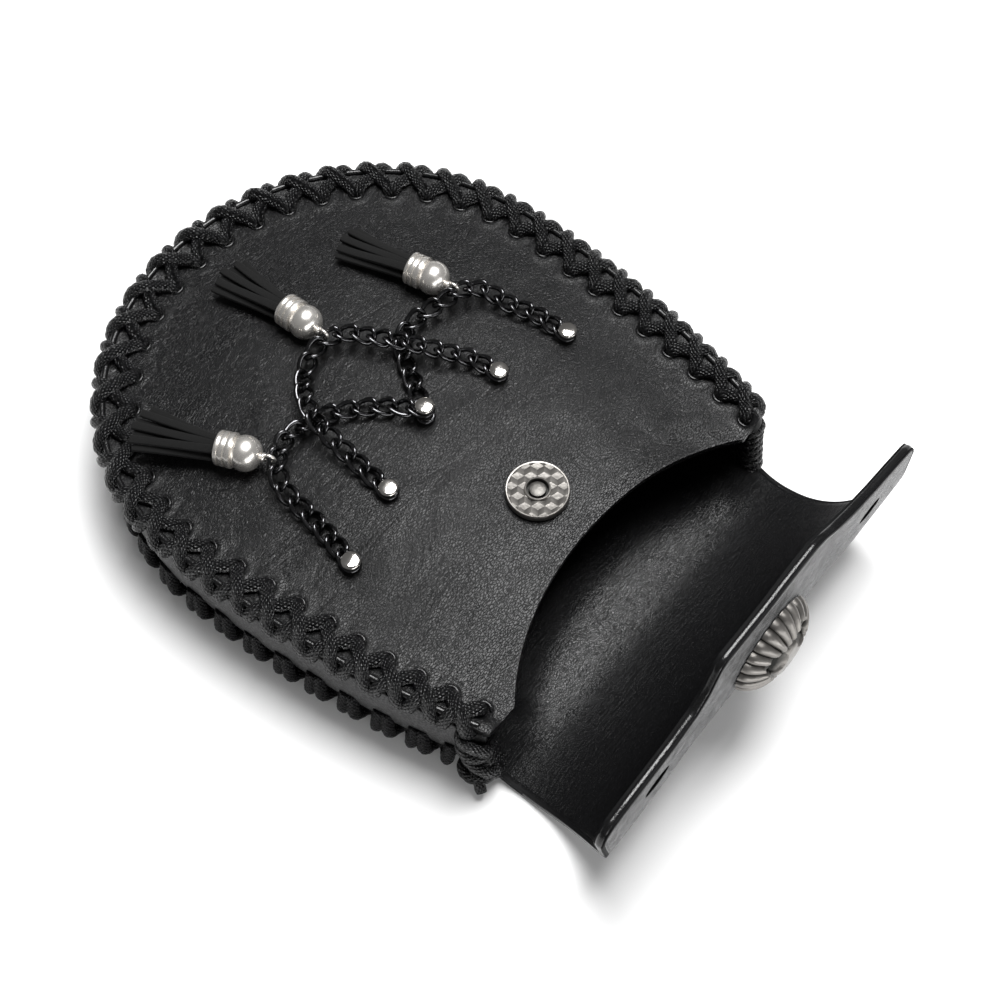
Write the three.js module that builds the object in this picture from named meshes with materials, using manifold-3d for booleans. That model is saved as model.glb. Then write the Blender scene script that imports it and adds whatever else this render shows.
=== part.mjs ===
// A leather belt pouch lying on its back with its flap open.
// Millimetres, +Z up. The floor is z = 0 and the mouth of the pouch looks along +Y.
// Places on the pouch are given from the centre of its front snap, and the
// whole pouch is moved at the end so that the origin is under the middle of its box.
import * as THREE from 'three';
import { mergeVertices } from 'three/addons/utils/BufferGeometryUtils.js';
import Module from 'manifold-3d';

const wasm = await Module();
wasm.setup();

// Driving dimensions of the body
const DEPTH = 29;                 // floor to the top of the front panel
const FRONT_WALL = 2;             // leather of the front panel
const SIDE_WALL = 1.8;            // leather of the gusset
const BACK_WALL = 2.8;            // leather of the back and flap
const GAP = 0.3;                  // clearance between neighbours
const HOLE_SIDES = 10;            // round holes, posts and heads
const BELLY_RADIUS = 76;          // half-round bottom of the outline
const BELLY_Y = -61.5;            // centre of that half round
const FLANK_RADIUS = 321;         // slow curve from the belly to a mouth corner
const MOUTH_Y = 33.6;             // mouth corners
const MOUTH_DIP = 16;             // how far the mouth edge dips in the middle
const MOUTH_KINK_X = 51.4;        // where the dip starts beside the corner tabs
const FRONT_CROWN = 1.8;          // swell of the front panel
const BACK_RAISE = 3.4;           // laced border of the back, held off the floor

// Driving dimensions of the flap
const FLAP_FLAT_END = 43;         // where the flap leaves the floor
const FLAP_BEND = 29;             // radius of the bend, on the inside
const FLAP_TURN = THREE.MathUtils.degToRad(94.6);
const FLAP_WAIST = 61;            // half width in the bend
const FLAP_FLARE = 69.5;          // half width at the free corners
const FLAP_SIDE_LENGTH = 71;      // mouth line to the free edge, at the sides
const FLAP_TAB_LENGTH = 84;       // and at the middle tab
const SLOT = { x: 47.5, along: 63, long: 9.5, wide: 3.8 };

// Driving dimensions of the lacing
const LACE_PITCH = 10.2;          // spacing of the lacing holes
const LACE_REACH = 9.4;           // edge to the far rim of a hole
const LACE_CROSS_REACH = 4.2;     // edge to the fork of a crossing
const LACE_THICK = 3;             // one cord
const LACE_CROSS_THICK = 4.4;     // two cords where they cross
const FRONT_LACE_START = 2;       // first lacing on the front edge, from the mouth
const BACK_LACE_START = 9.5;      // and on the back edge, past the corner binding
const BINDING_WRAPS = 4;

// Driving dimensions of the metal
const RIVET_CAP = 2.8;
const RIVET_NECK = 0.9;
const RIVET_HEAD_HEIGHT = 1.5;
const SNAP_RADIUS = 9;
const SNAP_POST = 2.2;
const BOSS = { along: 61.5, halfLong: 15, halfHigh: 12, height: 7, lobes: 12 };
const LINK_PITCH = 5.25;
const LINK_HALF_WIDTH = 2.3;      // centre line of the wire
const LINK_WIRE = 0.52;           // radius
const LINK_WIRE_SIDES = 5;
const LINK_STEPS = 10;            // round each link
const LINK_BEARING = 0.65;        // links are joined across this where they bear on each other
const LINK_TWIST = THREE.MathUtils.degToRad(50); // turn of a curb link towards each end
const LINK_REST = 2.4;            // middle of a lying link above the leather
const LINK_CROSSING = 6.2;        // and of a link that passes over another chain
const LINK_AT_RIVET = 1.7;
const LINK_SECOND_AT_RIVET = 4.8; // second end link on a shared rivet
const EYE_RADIUS = 1.6;
const EYE_WIRE = 0.5;

// Driving dimensions of the tassels
const TASSEL_AXIS = 5.4;          // above the leather
const CAP_LENGTH = 14.6;
const CAP_RADIUS = 4.9;
const CAP_RECESS = 2;
const FRINGE_LENGTH = 27;
const FRINGE_HEAD = 3.5;
const STRIP = { count: 6, wide: 3, thick: 1.1 };

// Rivets: x, y and how many chain ends each one holds
const RIVETS = [
  { x: 48.5, y: -24.7, ends: 1 },
  { x: 26, y: -31.2, ends: 1 },
  { x: 1.2, y: -39.4, ends: 2 },
  { x: -22.8, y: -32.3, ends: 1 },
  { x: -46.6, y: -26, ends: 1 },
];

// Tassels: where the eye hangs, which way the tassel lies, how wide it fans and how
// high its tips lie, which for one of them is on the lacing
const TASSELS = [
  { x: 39.5, y: -59.8, dirX: 0.42, dirY: -0.91, fan: 0.26, tipRise: 4.8 },
  { x: 0.5, y: -76.3, dirX: 0.03, dirY: -1, fan: 0.24, tipRise: 1.8 },
  { x: -36.3, y: -58.2, dirX: 0.16, dirY: -0.987, fan: 0.2, tipRise: 1.8 },
];

// Chains: two legs that hang from rivets and meet at a tassel. The rows run from the
// rivet and give x, y and how far the chain is lifted there to pass over its neighbour.
const CHAINS = [
  {
    name: 'chain_a', tassel: 2, rivets: [4, 2], second: [false, false],
    legs: [
      [[-46, -36.5, 0], [-43.4, -46, 0.15], [-41.6, -53.6, 0.6]],
      [[-3.2, -46.6, 0], [-8.2, -54.4, 0], [-13, -60.2, 0], [-19.5, -63, 0], [-29, -60.2, 0.65]],
    ],
  },
  {
    name: 'chain_b', tassel: 1, rivets: [3, 1], second: [false, false],
    legs: [
      [[-21.6, -40.6, 0.1], [-16.6, -49.6, 0.6], [-12.2, -57.6, 1], [-8.1, -66.4, 0.8], [-3.8, -73.8, 0.75]],
      [
        [25.2, -43, 0.1], [24.4, -55, 0.8], [22.9, -62.2, 1],
        [19.4, -68.2, 0.8], [13.4, -74.2, 0.3], [6.4, -77, 0.65],
      ],
    ],
  },
  {
    name: 'chain_c', tassel: 0, rivets: [2, 0], second: [true, false],
    legs: [
      [
        [4, -44.6, 0.45], [6.8, -50, 0.05], [12.4, -56, 0],
        [19.4, -61, 0], [25.8, -63.2, 0.05], [33, -62.8, 0.65],
      ],
      [[46.4, -35, 0], [45.1, -44, 0.05], [44, -54, 0.6]],
    ],
  },
];

// Finishes
const LEATHER = { color: 0x17171a, roughness: 0.55, metalness: 0 };
const CORD = { color: 0x0b0b0c, roughness: 0.4, metalness: 0 };
const SUEDE = { color: 0x121213, roughness: 0.9, metalness: 0 };
const NICKEL = { color: 0xc9c5bd, roughness: 0.22, metalness: 1 };
const GUNMETAL = { color: 0x2b2b2e, roughness: 0.2, metalness: 1 };
const ANTIQUE = { color: 0x8d8c89, roughness: 0.35, metalness: 1 };

const vec = (x, y, z) => new THREE.Vector3(x, y, z);
const smoothstep = THREE.MathUtils.smoothstep;
const lerp = THREE.MathUtils.lerp;

// Closed geometry from points and triangles, with its faces turned outwards
function solid(points, faces) {
  let volume = 0;
  for (let i = 0; i < faces.length; i += 3) {
    const [a, b, c] = [points[faces[i]], points[faces[i + 1]], points[faces[i + 2]]];
    volume += a.dot(b.clone().cross(c));
  }
  const turned = [];
  for (let i = 0; i < faces.length; i += 3) {
    const [a, b, c] = faces.slice(i, i + 3);
    if (a === b || b === c || c === a) continue;
    turned.push(...(volume > 0 ? [a, b, c] : [a, c, b]));
  }
  const geometry = new THREE.BufferGeometry().setFromPoints(points);
  geometry.setIndex(turned);
  return geometry;
}

// The same for one of the library's shapes, with its seams merged
function welded(shape) {
  const source = shape.index ? shape.clone() : shape;
  source.deleteAttribute('normal');
  source.deleteAttribute('uv');
  const merged = mergeVertices(source, 1e-4);
  const places = merged.getAttribute('position');
  const points = [];
  for (let i = 0; i < places.count; i += 1) points.push(vec(places.getX(i), places.getY(i), places.getZ(i)));
  return solid(points, Array.from(merged.index.array));
}

// Skin over a run of sections. Each section is a loop of points, and half of a loop
// faces the other half, so that the run is closed by a strip at each end.
function loft(sections) {
  const count = sections[0].length;
  const faces = [];
  const quad = (a, b, c, d) => faces.push(a, b, c, a, c, d);
  for (let i = 0; i < sections.length - 1; i += 1) {
    const here = i * count;
    const next = here + count;
    for (let j = 0; j < count; j += 1) {
      const k = (j + 1) % count;
      quad(here + j, here + k, next + k, next + j);
    }
  }
  const last = (sections.length - 1) * count;
  for (let j = 0; j < count / 2 - 1; j += 1) {
    const [k, m, n] = [j + 1, count - 2 - j, count - 1 - j];
    quad(n, m, k, j);
    quad(last + j, last + k, last + m, last + n);
  }
  return solid(sections.flat(), faces);
}

// Profile of radius and height turned about +Z
function turned(profile, sides) {
  const points = profile.map(([radius, height]) => new THREE.Vector2(radius, height));
  return welded(new THREE.LatheGeometry(points, sides)).rotateX(Math.PI / 2);
}

// Joins and cuts
function toManifold(geometry) {
  const vertProperties = new Float32Array(geometry.getAttribute('position').array);
  const triVerts = new Uint32Array(geometry.index.array);
  return new wasm.Manifold(new wasm.Mesh({ numProp: 3, vertProperties, triVerts }));
}

function toGeometry(manifold) {
  const mesh = manifold.getMesh();
  const geometry = new THREE.BufferGeometry();
  geometry.setAttribute('position', new THREE.BufferAttribute(new Float32Array(mesh.vertProperties), 3));
  geometry.setIndex(Array.from(mesh.triVerts));
  return geometry;
}

function fused(geometries) {
  const joined = geometries.map(toManifold).reduce((sum, next) => sum.add(next));
  return toGeometry(joined);
}

function cut(geometry, cutters) {
  const left = cutters.map(toManifold).reduce((sum, next) => sum.subtract(next), toManifold(geometry));
  return toGeometry(left);
}

// Outline of the pouch, from the mouth corner on +X round the bottom to the one on -X
const flankCentre = BELLY_RADIUS - FLANK_RADIUS;
const flankAngle = Math.asin((MOUTH_Y - BELLY_Y) / FLANK_RADIUS);
const outline = new THREE.Path();
outline.absarc(flankCentre, BELLY_Y, FLANK_RADIUS, flankAngle, 0, true);
outline.absarc(0, BELLY_Y, BELLY_RADIUS, 0, Math.PI, true);
outline.absarc(-flankCentre, BELLY_Y, FLANK_RADIUS, Math.PI, Math.PI - flankAngle, true);
outline.arcLengthDivisions = 2000;
const outlineLength = outline.getLength();

// A place on the outline, with the direction along it and the direction inwards
function edgeAt(along) {
  const share = along / outlineLength;
  const place = outline.getPointAt(share);
  const run = outline.getTangentAt(share);
  return { place, run, inward: new THREE.Vector2(run.y, -run.x) };
}

function halfWidthAt(y) {
  const rise = y - BELLY_Y;
  if (rise < 0) return Math.sqrt(BELLY_RADIUS ** 2 - rise ** 2);
  return flankCentre + Math.sqrt(FLANK_RADIUS ** 2 - rise ** 2);
}

function distanceToEdge(x, y) {
  const rise = y - BELLY_Y;
  if (rise < 0) return BELLY_RADIUS - Math.hypot(x, rise);
  return FLANK_RADIUS - Math.hypot(Math.abs(x) - flankCentre, rise);
}

// Height of the top of the front leather
const CROWN_START = 11;
const CROWN_END = 45;
function frontTop(x, y) {
  return DEPTH + FRONT_CROWN * smoothstep(distanceToEdge(x, y), CROWN_START, CROWN_END);
}

// The mouth edge of the front panel: straight tabs at the corners and a round dip
const mouthDipRadius = (MOUTH_KINK_X ** 2 + MOUTH_DIP ** 2) / (2 * MOUTH_DIP);
function mouthEdgeY(x) {
  if (Math.abs(x) >= MOUTH_KINK_X) return MOUTH_Y;
  return MOUTH_Y - MOUTH_DIP + mouthDipRadius - Math.sqrt(mouthDipRadius ** 2 - x ** 2);
}

// Rows of the two panels. The bottom rows are spaced by the angle round the belly.
const BELLY_ROWS = [7, 30, 44, 58, 74].map(THREE.MathUtils.degToRad);
const bellyRowY = (angle) => BELLY_Y - BELLY_RADIUS * Math.cos(angle);
const mirrored = (half) => [...half.slice(1).reverse().map((share) => -share), ...half];

// A wall of leather: rows of places, each with its two faces
function leatherSheet(rows) {
  return loft(rows.map((row) => [
    ...row.map((place) => place.outer),
    ...row.map((place) => place.inner).reverse(),
  ]));
}

const FRONT_COLUMNS = [0, 0.28, 0.56, 0.834, 1];
const FRONT_CHEST_ROWS = [0, 0.35, 0.7, 1];
function frontPanel() {
  const shares = mirrored(FRONT_COLUMNS);
  const place = (x, y) => {
    const top = frontTop(x, y);
    return { outer: vec(x, y, top), inner: vec(x, y, top - FRONT_WALL) };
  };
  const belly = BELLY_ROWS.map((angle) => {
    const y = bellyRowY(angle);
    return shares.map((share) => place(share * halfWidthAt(y), y));
  });
  const chest = FRONT_CHEST_ROWS.map((rise) => shares.map((share) => {
    const mouthX = share * halfWidthAt(MOUTH_Y);
    const y = lerp(BELLY_Y, mouthEdgeY(mouthX), rise);
    return place(share * halfWidthAt(y), y);
  }));
  const holes = RIVETS.map((rivet) => drill(rivet.x, rivet.y, RIVET_NECK + GAP));
  return cut(leatherSheet([...belly, ...chest]), [...holes, drill(0, 0, SNAP_POST + GAP)]);
}

function drill(x, y, radius) {
  const tool = welded(new THREE.CylinderGeometry(radius, radius, DEPTH, HOLE_SIDES));
  return tool.rotateX(Math.PI / 2).translate(x, y, DEPTH);
}

// The gusset stands between the two panels, flush with their edges
const gussetTop = DEPTH - FRONT_WALL - GAP;
const gussetFoot = BACK_RAISE + BACK_WALL + GAP;
const GUSSET_START = 1;
const GUSSET_STEPS = 26;
function gusset() {
  const sections = [];
  for (let i = 0; i <= GUSSET_STEPS; i += 1) {
    const along = lerp(GUSSET_START, outlineLength - GUSSET_START, i / GUSSET_STEPS);
    const { place, inward } = edgeAt(along);
    const inner = place.clone().addScaledVector(inward, SIDE_WALL);
    sections.push([
      vec(place.x, place.y, gussetFoot), vec(place.x, place.y, gussetTop),
      vec(inner.x, inner.y, gussetTop), vec(inner.x, inner.y, gussetFoot),
    ]);
  }
  return loft(sections);
}

// Profile of the flap from the mouth line on: along the floor, round the bend and up
const flapFlat = FLAP_FLAT_END - MOUTH_Y;
const flapBendLength = FLAP_BEND * FLAP_TURN;
function flapAt(along) {
  const bent = THREE.MathUtils.clamp((along - flapFlat) / FLAP_BEND, 0, FLAP_TURN);
  const past = Math.max(0, along - flapFlat - flapBendLength);
  const start = Math.min(along, flapFlat);
  const y = MOUTH_Y + start + FLAP_BEND * Math.sin(bent) + past * Math.cos(bent);
  const z = BACK_WALL + FLAP_BEND * (1 - Math.cos(bent)) + past * Math.sin(bent);
  return { y, z, normalY: -Math.sin(bent), normalZ: Math.cos(bent) };
}

// Half width of the flap, and its free edge: a middle tab between two scooped shoulders
const FLAP_EDGE = [
  { x: 0, along: FLAP_TAB_LENGTH },
  { x: 21, along: FLAP_TAB_LENGTH },
  { x: 27, along: FLAP_SIDE_LENGTH + 5 },
  { x: 40, along: FLAP_SIDE_LENGTH + 0.6 },
  { x: 59, along: FLAP_SIDE_LENGTH },
  { x: 67.4, along: FLAP_SIDE_LENGTH - 1.6 },
  { x: FLAP_FLARE, along: FLAP_SIDE_LENGTH - 6 },
];
const WAIST_REACHED = 14;         // along the flap
const FLARE_START = 18;
function flapHalfWidth(along) {
  const waist = lerp(halfWidthAt(MOUTH_Y), FLAP_WAIST, smoothstep(along, 0, WAIST_REACHED));
  return lerp(waist, FLAP_FLARE, smoothstep(along, FLARE_START, FLAP_SIDE_LENGTH));
}

// Back panel and flap are one piece of leather
const RAISE_EDGE = 11.5;          // the border is level this far in from the edge
const RAISE_END = 24;             // and has come down to the floor here
const RAISE_FADE = 12;            // it also comes down over this length at the mouth
const BACK_ROWS_Y = [BELLY_Y, -15, 26];
const FLAP_ROWS = [0, 0.14, 0.28, 0.41, 0.54, 0.67, 0.8, 1];
function backFlap() {
  const shares = mirrored(FLAP_EDGE.map((row) => row.x / FLAP_FLARE));
  const ends = mirrored(FLAP_EDGE.map((row) => row.along)).map(Math.abs);
  const onFloor = (x, y) => {
    const border = 1 - smoothstep(distanceToEdge(x, y), RAISE_EDGE, RAISE_END);
    const fade = 1 - smoothstep(y, MOUTH_Y - RAISE_FADE / 2, FLAP_FLAT_END);
    const z = BACK_RAISE * border * fade;
    return { outer: vec(x, y, z), inner: vec(x, y, z + BACK_WALL) };
  };
  const straightRow = (y) => shares.map((share) => onFloor(share * halfWidthAt(y), y));
  const flapRow = (portion) => shares.map((share, column) => {
    const along = portion * ends[column];
    const { y, z, normalY, normalZ } = flapAt(along);
    const x = share * flapHalfWidth(along);
    const lift = onFloor(x, Math.min(y, FLAP_FLAT_END)).outer.z * (y < FLAP_FLAT_END ? 1 : 0);
    return {
      outer: vec(x, y - normalY * BACK_WALL, z - normalZ * BACK_WALL + lift),
      inner: vec(x, y, z + lift),
    };
  });
  const back = [...BELLY_ROWS.map(bellyRowY), ...BACK_ROWS_Y].map(straightRow);
  const flap = FLAP_ROWS.map(flapRow);
  const cutters = [-SLOT.x, SLOT.x].map((x) => flapTool(x, SLOT.along, SLOT.long / 2, SLOT.wide / 2));
  cutters.push(flapTool(0, BOSS.along, BOSS_POST + GAP, BOSS_POST + GAP));
  return cut(leatherSheet([...back, ...flap]), cutters);
}

// Frame on the upright part of the flap: X across, Y up along the leather, Z outwards
function flapFrame(x, along, outwards) {
  const { y, z, normalY, normalZ } = flapAt(along);
  const out = vec(0, -normalY, -normalZ);
  const origin = vec(x, y, z).addScaledVector(out, BACK_WALL + outwards);
  const across = vec(-1, 0, 0);
  return new THREE.Matrix4().makeBasis(across, out.clone().cross(across), out).setPosition(origin);
}

function flapTool(x, along, halfLong, halfWide) {
  const tool = welded(new THREE.CylinderGeometry(1, 1, 6 * BACK_WALL, HOLE_SIDES));
  tool.rotateX(Math.PI / 2).scale(halfLong, halfWide, 1);
  return tool.applyMatrix4(flapFrame(x, along, 0));
}

// Cross lacing round an edge. It is widest at each hole and thickest at each crossing.
// upward is 1 on the front edge and -1 on the back edge.
const LACE_LEAN = 0.66;           // share of its bulge that the cord stands out and up
function lacing(edgeHeight, upward, start) {
  const stitches = Math.round((outlineLength - 2 * start) / LACE_PITCH);
  const sections = [];
  for (let i = 0; i <= 2 * stitches; i += 1) {
    const { place, inward } = edgeAt(lerp(start, outlineLength - start, i / (2 * stitches)));
    const isHole = i % 2 === 1;
    const reach = isHole ? LACE_REACH : LACE_CROSS_REACH;
    const bulge = isHole ? LACE_THICK : LACE_CROSS_THICK;
    const at = (inset, rise) => vec(
      place.x + inward.x * inset, place.y + inward.y * inset, edgeHeight + upward * rise);
    sections.push([
      at(reach, 2 * GAP), at(-GAP, GAP), at(-GAP, -reach),
      at(-GAP - bulge * LACE_LEAN, GAP + bulge * LACE_LEAN),
    ]);
  }
  return loft(sections);
}

// Cord bound round each end of the gusset, between the two lacings
const BINDING_FOOT = 7;
const BINDING_TOP = 18.4;
const BINDING_DEPTH = 6;
const BINDING_VALLEY = 0.72;      // thickness between two turns, as a share of the cord
function cornerBinding(side) {
  const along = side > 0 ? GUSSET_START : outlineLength - GUSSET_START;
  const { place, run, inward } = edgeAt(along);
  const sections = [];
  for (let i = 0; i <= 2 * BINDING_WRAPS; i += 1) {
    const z = lerp(BINDING_FOOT, BINDING_TOP, i / (2 * BINDING_WRAPS));
    const swell = i % 2 === 1 ? 1 : BINDING_VALLEY;
    const at = (inset, past) => vec(
      place.x + inward.x * inset - side * run.x * past,
      place.y + inward.y * inset - side * run.y * past, z);
    const inside = SIDE_WALL + GAP;
    const thick = LACE_THICK * swell;
    sections.push([
      at(-GAP, -BINDING_DEPTH), at(-GAP, GAP), at(inside, GAP), at(inside, -BINDING_DEPTH),
      at(inside + thick * 0.9, 1 - BINDING_DEPTH), at(inside + thick * 0.6, GAP + thick * 0.8),
      at(-GAP - thick * 0.6, GAP + thick * 0.8), at(-GAP - thick * 0.9, 1 - BINDING_DEPTH),
    ]);
  }
  return loft(sections);
}

// Rivet through the front panel, with room under its cap for the chain ends
function capHeight(rivet) {
  const upper = rivet.ends > 1 ? LINK_SECOND_AT_RIVET : LINK_AT_RIVET;
  return upper + LINK_WIRE + 3 * GAP;
}

const WASHER_THICK = 1;
const RIVET_WASHER = 2.4;
const RIVET_SIDES = 8;
function rivetSolid(rivet) {
  const under = capHeight(rivet);
  const top = under + RIVET_HEAD_HEIGHT;
  const back = -FRONT_WALL - GAP;
  const shape = turned([
    [0, back - WASHER_THICK], [RIVET_WASHER, back - WASHER_THICK], [RIVET_WASHER, back],
    [RIVET_NECK, back], [RIVET_NECK, under],
    [RIVET_CAP, under], [RIVET_CAP * 0.8, top - 0.4], [0, top],
  ], RIVET_SIDES);
  return shape.translate(rivet.x, rivet.y, frontTop(rivet.x, rivet.y));
}

// Snap: a dished plate with a button in the middle, on a post through the front panel
const SNAP_WASHER = 6;
const SNAP_SIDES = 12;
function snapPlate() {
  const washer = -FRONT_WALL - GAP;
  const button = 2.6;
  return turned([
    [0, washer - WASHER_THICK], [SNAP_WASHER, washer - WASHER_THICK], [SNAP_WASHER, washer],
    [SNAP_POST, washer], [SNAP_POST, GAP],
    [SNAP_RADIUS, GAP], [SNAP_RADIUS, 1.6], [SNAP_RADIUS - 0.8, 2.3],
    [button + 1, 2.6], [button + 0.5, 1.5], [button, 1.5], [button, 2.4], [0, 2.5],
  ], SNAP_SIDES).translate(0, 0, frontTop(0, 0));
}

// Cast boss on the flap: a lobed oval dome with two hollows, on a post through the leather
const BOSS_POST = 1.6;
const BOSS_HOLLOW = { x: 5.6, y: 3.6, halfLong: 3.6, halfHigh: 3, depth: 2.2 };
const BOSS_GROOVE = 0.93;         // radius between two lobes, as a share of the outline
function flapBoss() {
  const levels = [[0.97, 0], [1, 0.55], [0.8, 0.86], [0.42, 1]];
  const points = 2 * BOSS.lobes;
  const sections = levels.map(([spread, rise], level) => {
    const ring = [];
    for (let i = 0; i < points; i += 1) {
      const angle = (i / points) * 2 * Math.PI;
      const lobe = level < 2 && i % 2 === 0 ? BOSS_GROOVE : 1;
      ring.push(vec(
        BOSS.halfLong * spread * lobe * Math.cos(angle),
        BOSS.halfHigh * spread * lobe * Math.sin(angle), BOSS.height * rise));
    }
    return ring;
  });
  const post = welded(new THREE.CylinderGeometry(BOSS_POST, BOSS_POST, BACK_WALL + GAP + 1, HOLE_SIDES));
  post.rotateX(Math.PI / 2).translate(0, 0, 0.5 - (BACK_WALL + GAP) / 2);
  const hollow = (x) => welded(new THREE.SphereGeometry(1, 8, 4))
    .scale(BOSS_HOLLOW.halfLong, BOSS_HOLLOW.halfHigh, BOSS_HOLLOW.depth)
    .translate(x, BOSS_HOLLOW.y, BOSS.height);
  const dome = cut(loft(sections), [hollow(-BOSS_HOLLOW.x), hollow(BOSS_HOLLOW.x)]);
  return fused([dome, post]).applyMatrix4(flapFrame(0, BOSS.along, GAP));
}

// Stud on the inner face of the flap that meets the snap when the flap is closed
const STUD_RADIUS = 5.5;
function claspStud() {
  const stud = turned([
    [0, 0], [STUD_RADIUS, 0], [STUD_RADIUS, 1.4], [2.4, 1.8], [2.2, 3.6], [0, 3.8],
  ], HOLE_SIDES);
  return stud.rotateX(Math.PI).applyMatrix4(flapFrame(0, BOSS.along, -BACK_WALL - GAP));
}

// One curb link: a long ring of wire in its own X, twisted about X towards each end.
// A flat side of the wire faces inwards at both ends, where the next links bear.
const linkFlat = LINK_WIRE * Math.cos(Math.PI / LINK_WIRE_SIDES);
function curbLink({ pitch, twistStart, twistEnd, centre, direction }) {
  const halfLong = (pitch + LINK_BEARING) / 2 + linkFlat;
  const stretch = halfLong - LINK_HALF_WIDTH;
  const run = direction.clone().normalize();
  const across = vec(0, 0, 1).cross(run).normalize();
  const frame = new THREE.Matrix4().makeBasis(run, across, run.clone().cross(across)).setPosition(centre);
  const points = [];
  for (let i = 0; i < LINK_STEPS; i += 1) {
    const turn = ((i - 0.5) / LINK_STEPS) * 2 * Math.PI;
    for (let j = 0; j < LINK_WIRE_SIDES; j += 1) {
      const round = (j / LINK_WIRE_SIDES) * 2 * Math.PI;
      const radius = LINK_HALF_WIDTH + LINK_WIRE * Math.cos(round);
      const place = vec(radius * Math.cos(turn), radius * Math.sin(turn), LINK_WIRE * Math.sin(round));
      place.x += THREE.MathUtils.clamp(place.x, -1, 1) * stretch;
      const share = THREE.MathUtils.clamp(place.x / halfLong, -1, 1);
      place.applyAxisAngle(vec(1, 0, 0), LINK_TWIST * share * (share < 0 ? twistStart : twistEnd));
      points.push(place.applyMatrix4(frame));
    }
  }
  return points;
}

// The four corners of one side of one step of the wire, in order round it
function wireQuad(link, step, side) {
  const corner = (i, j) => (
    (link * LINK_STEPS + (i % LINK_STEPS)) * LINK_WIRE_SIDES + (j % LINK_WIRE_SIDES));
  return [corner(step, side), corner(step, side + 1), corner(step + 1, side + 1), corner(step + 1, side)];
}

// A whole chain as one body. Where two links bear on each other, the sides that face
// each other are left out and their edges are joined.
function joinedLinks(placements) {
  const points = placements.flatMap(curbLink);
  const faces = [];
  const quad = ([a, b, c, d]) => faces.push(a, b, c, a, c, d);
  const inner = (LINK_WIRE_SIDES - 1) / 2;
  const [endStep, startStep] = [0, LINK_STEPS / 2];
  const lastLink = placements.length - 1;
  placements.forEach((placement, link) => {
    for (let step = 0; step < LINK_STEPS; step += 1) {
      for (let side = 0; side < LINK_WIRE_SIDES; side += 1) {
        const isBearing = side === inner
          && ((step === endStep && link < lastLink) || (step === startStep && link > 0));
        if (!isBearing) quad(wireQuad(link, step, side));
      }
    }
    if (link === lastLink) return;
    const here = wireQuad(link, endStep, inner);
    const next = wireQuad(link + 1, startStep, inner);
    const spread = (shift) => here.reduce((sum, corner, i) => (
      sum + points[corner].distanceTo(points[next[(shift - i + 4) % 4]])), 0);
    const best = [0, 1, 2, 3].reduce((a, b) => (spread(b) < spread(a) ? b : a));
    here.forEach((corner, i) => quad([
      corner, here[(i + 1) % 4], next[(best - i + 3) % 4], next[(best - i + 4) % 4],
    ]));
  });
  return solid(points, faces);
}

// Route of one leg of a chain, from its rivet to the eye of its tassel
const FIRST_LINK = LINK_PITCH / 2 - RIVET_NECK - GAP;
function legRoute(rivet, isSecond, rows, meet) {
  const onFront = (x, y, rise) => vec(x, y, frontTop(x, y) + rise);
  return new THREE.CatmullRomCurve3([
    onFront(rivet.x, rivet.y, isSecond ? LINK_SECOND_AT_RIVET : LINK_AT_RIVET),
    ...rows.map(([x, y, over]) => onFront(x, y, lerp(LINK_REST, LINK_CROSSING, over))),
    meet,
  ]);
}

// The links of one leg. heading is 1 where the chain runs towards the tassel.
function legLinks(route, heading) {
  const length = route.getLength();
  const count = Math.round((length - FIRST_LINK) / LINK_PITCH);
  const pitch = (length - FIRST_LINK) / count;
  const links = [];
  for (let i = 0; i < count; i += 1) {
    const share = (FIRST_LINK + i * pitch) / length;
    const atRivet = i === 0 ? 0 : 1;
    links.push({
      pitch,
      twistStart: heading > 0 ? atRivet : 1,
      twistEnd: heading > 0 ? 1 : atRivet,
      centre: route.getPointAt(share),
      direction: route.getTangentAt(share).multiplyScalar(heading),
    });
  }
  return heading > 0 ? links : links.reverse();
}

function chainLinks(chain) {
  const meet = tasselEye(TASSELS[chain.tassel]);
  const [first, second] = chain.legs.map((rows, leg) => (
    legRoute(RIVETS[chain.rivets[leg]], chain.second[leg], rows, meet)));
  const before = legLinks(first, 1);
  const after = legLinks(second, -1);
  const direction = after[0].centre.clone().sub(before[before.length - 1].centre);
  const inEye = { pitch: LINK_PITCH, twistStart: 1, twistEnd: 1, centre: meet, direction };
  return [...before, inEye, ...after];
}

// Where the middle link of a chain lies in the eye of its tassel
function tasselEye(tassel) {
  return vec(tassel.x, tassel.y, frontTop(tassel.x, tassel.y) + TASSEL_AXIS);
}

// Frame of a tassel: Z runs along it from the middle link, Y up from the leather
function tasselFrame(tassel) {
  const along = vec(tassel.dirX, tassel.dirY, 0).normalize();
  const up = vec(0, 0, 1);
  return new THREE.Matrix4().makeBasis(up.clone().cross(along), up, along).setPosition(tasselEye(tassel));
}

// Cap: an eye, a bead, a ball dome and a collar of two rings over a recess
const eyeCentre = LINK_HALF_WIDTH;
const capStart = eyeCentre + EYE_RADIUS;
function tasselCap(tassel) {
  const end = capStart + CAP_LENGTH - EYE_RADIUS;
  const cap = turned([
    [0, capStart - 0.2], [1.3, capStart], [1.5, capStart + 1.1], [0.95, capStart + 1.7],
    [3.6, capStart + 2.5], [CAP_RADIUS, capStart + 5.4], [CAP_RADIUS - 0.8, end - 4.6],
    [CAP_RADIUS + 0.1, end - 3.8], [CAP_RADIUS + 0.1, end],
    [FRINGE_HEAD + 0.4, end], [FRINGE_HEAD + 0.4, end - CAP_RECESS], [0, end - CAP_RECESS],
  ], 10);
  const eye = welded(new THREE.TorusGeometry(EYE_RADIUS, EYE_WIRE, 5, 10));
  eye.rotateY(Math.PI / 2).translate(0, 0, eyeCentre);
  return fused([cap, eye]).applyMatrix4(tasselFrame(tassel));
}

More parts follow.
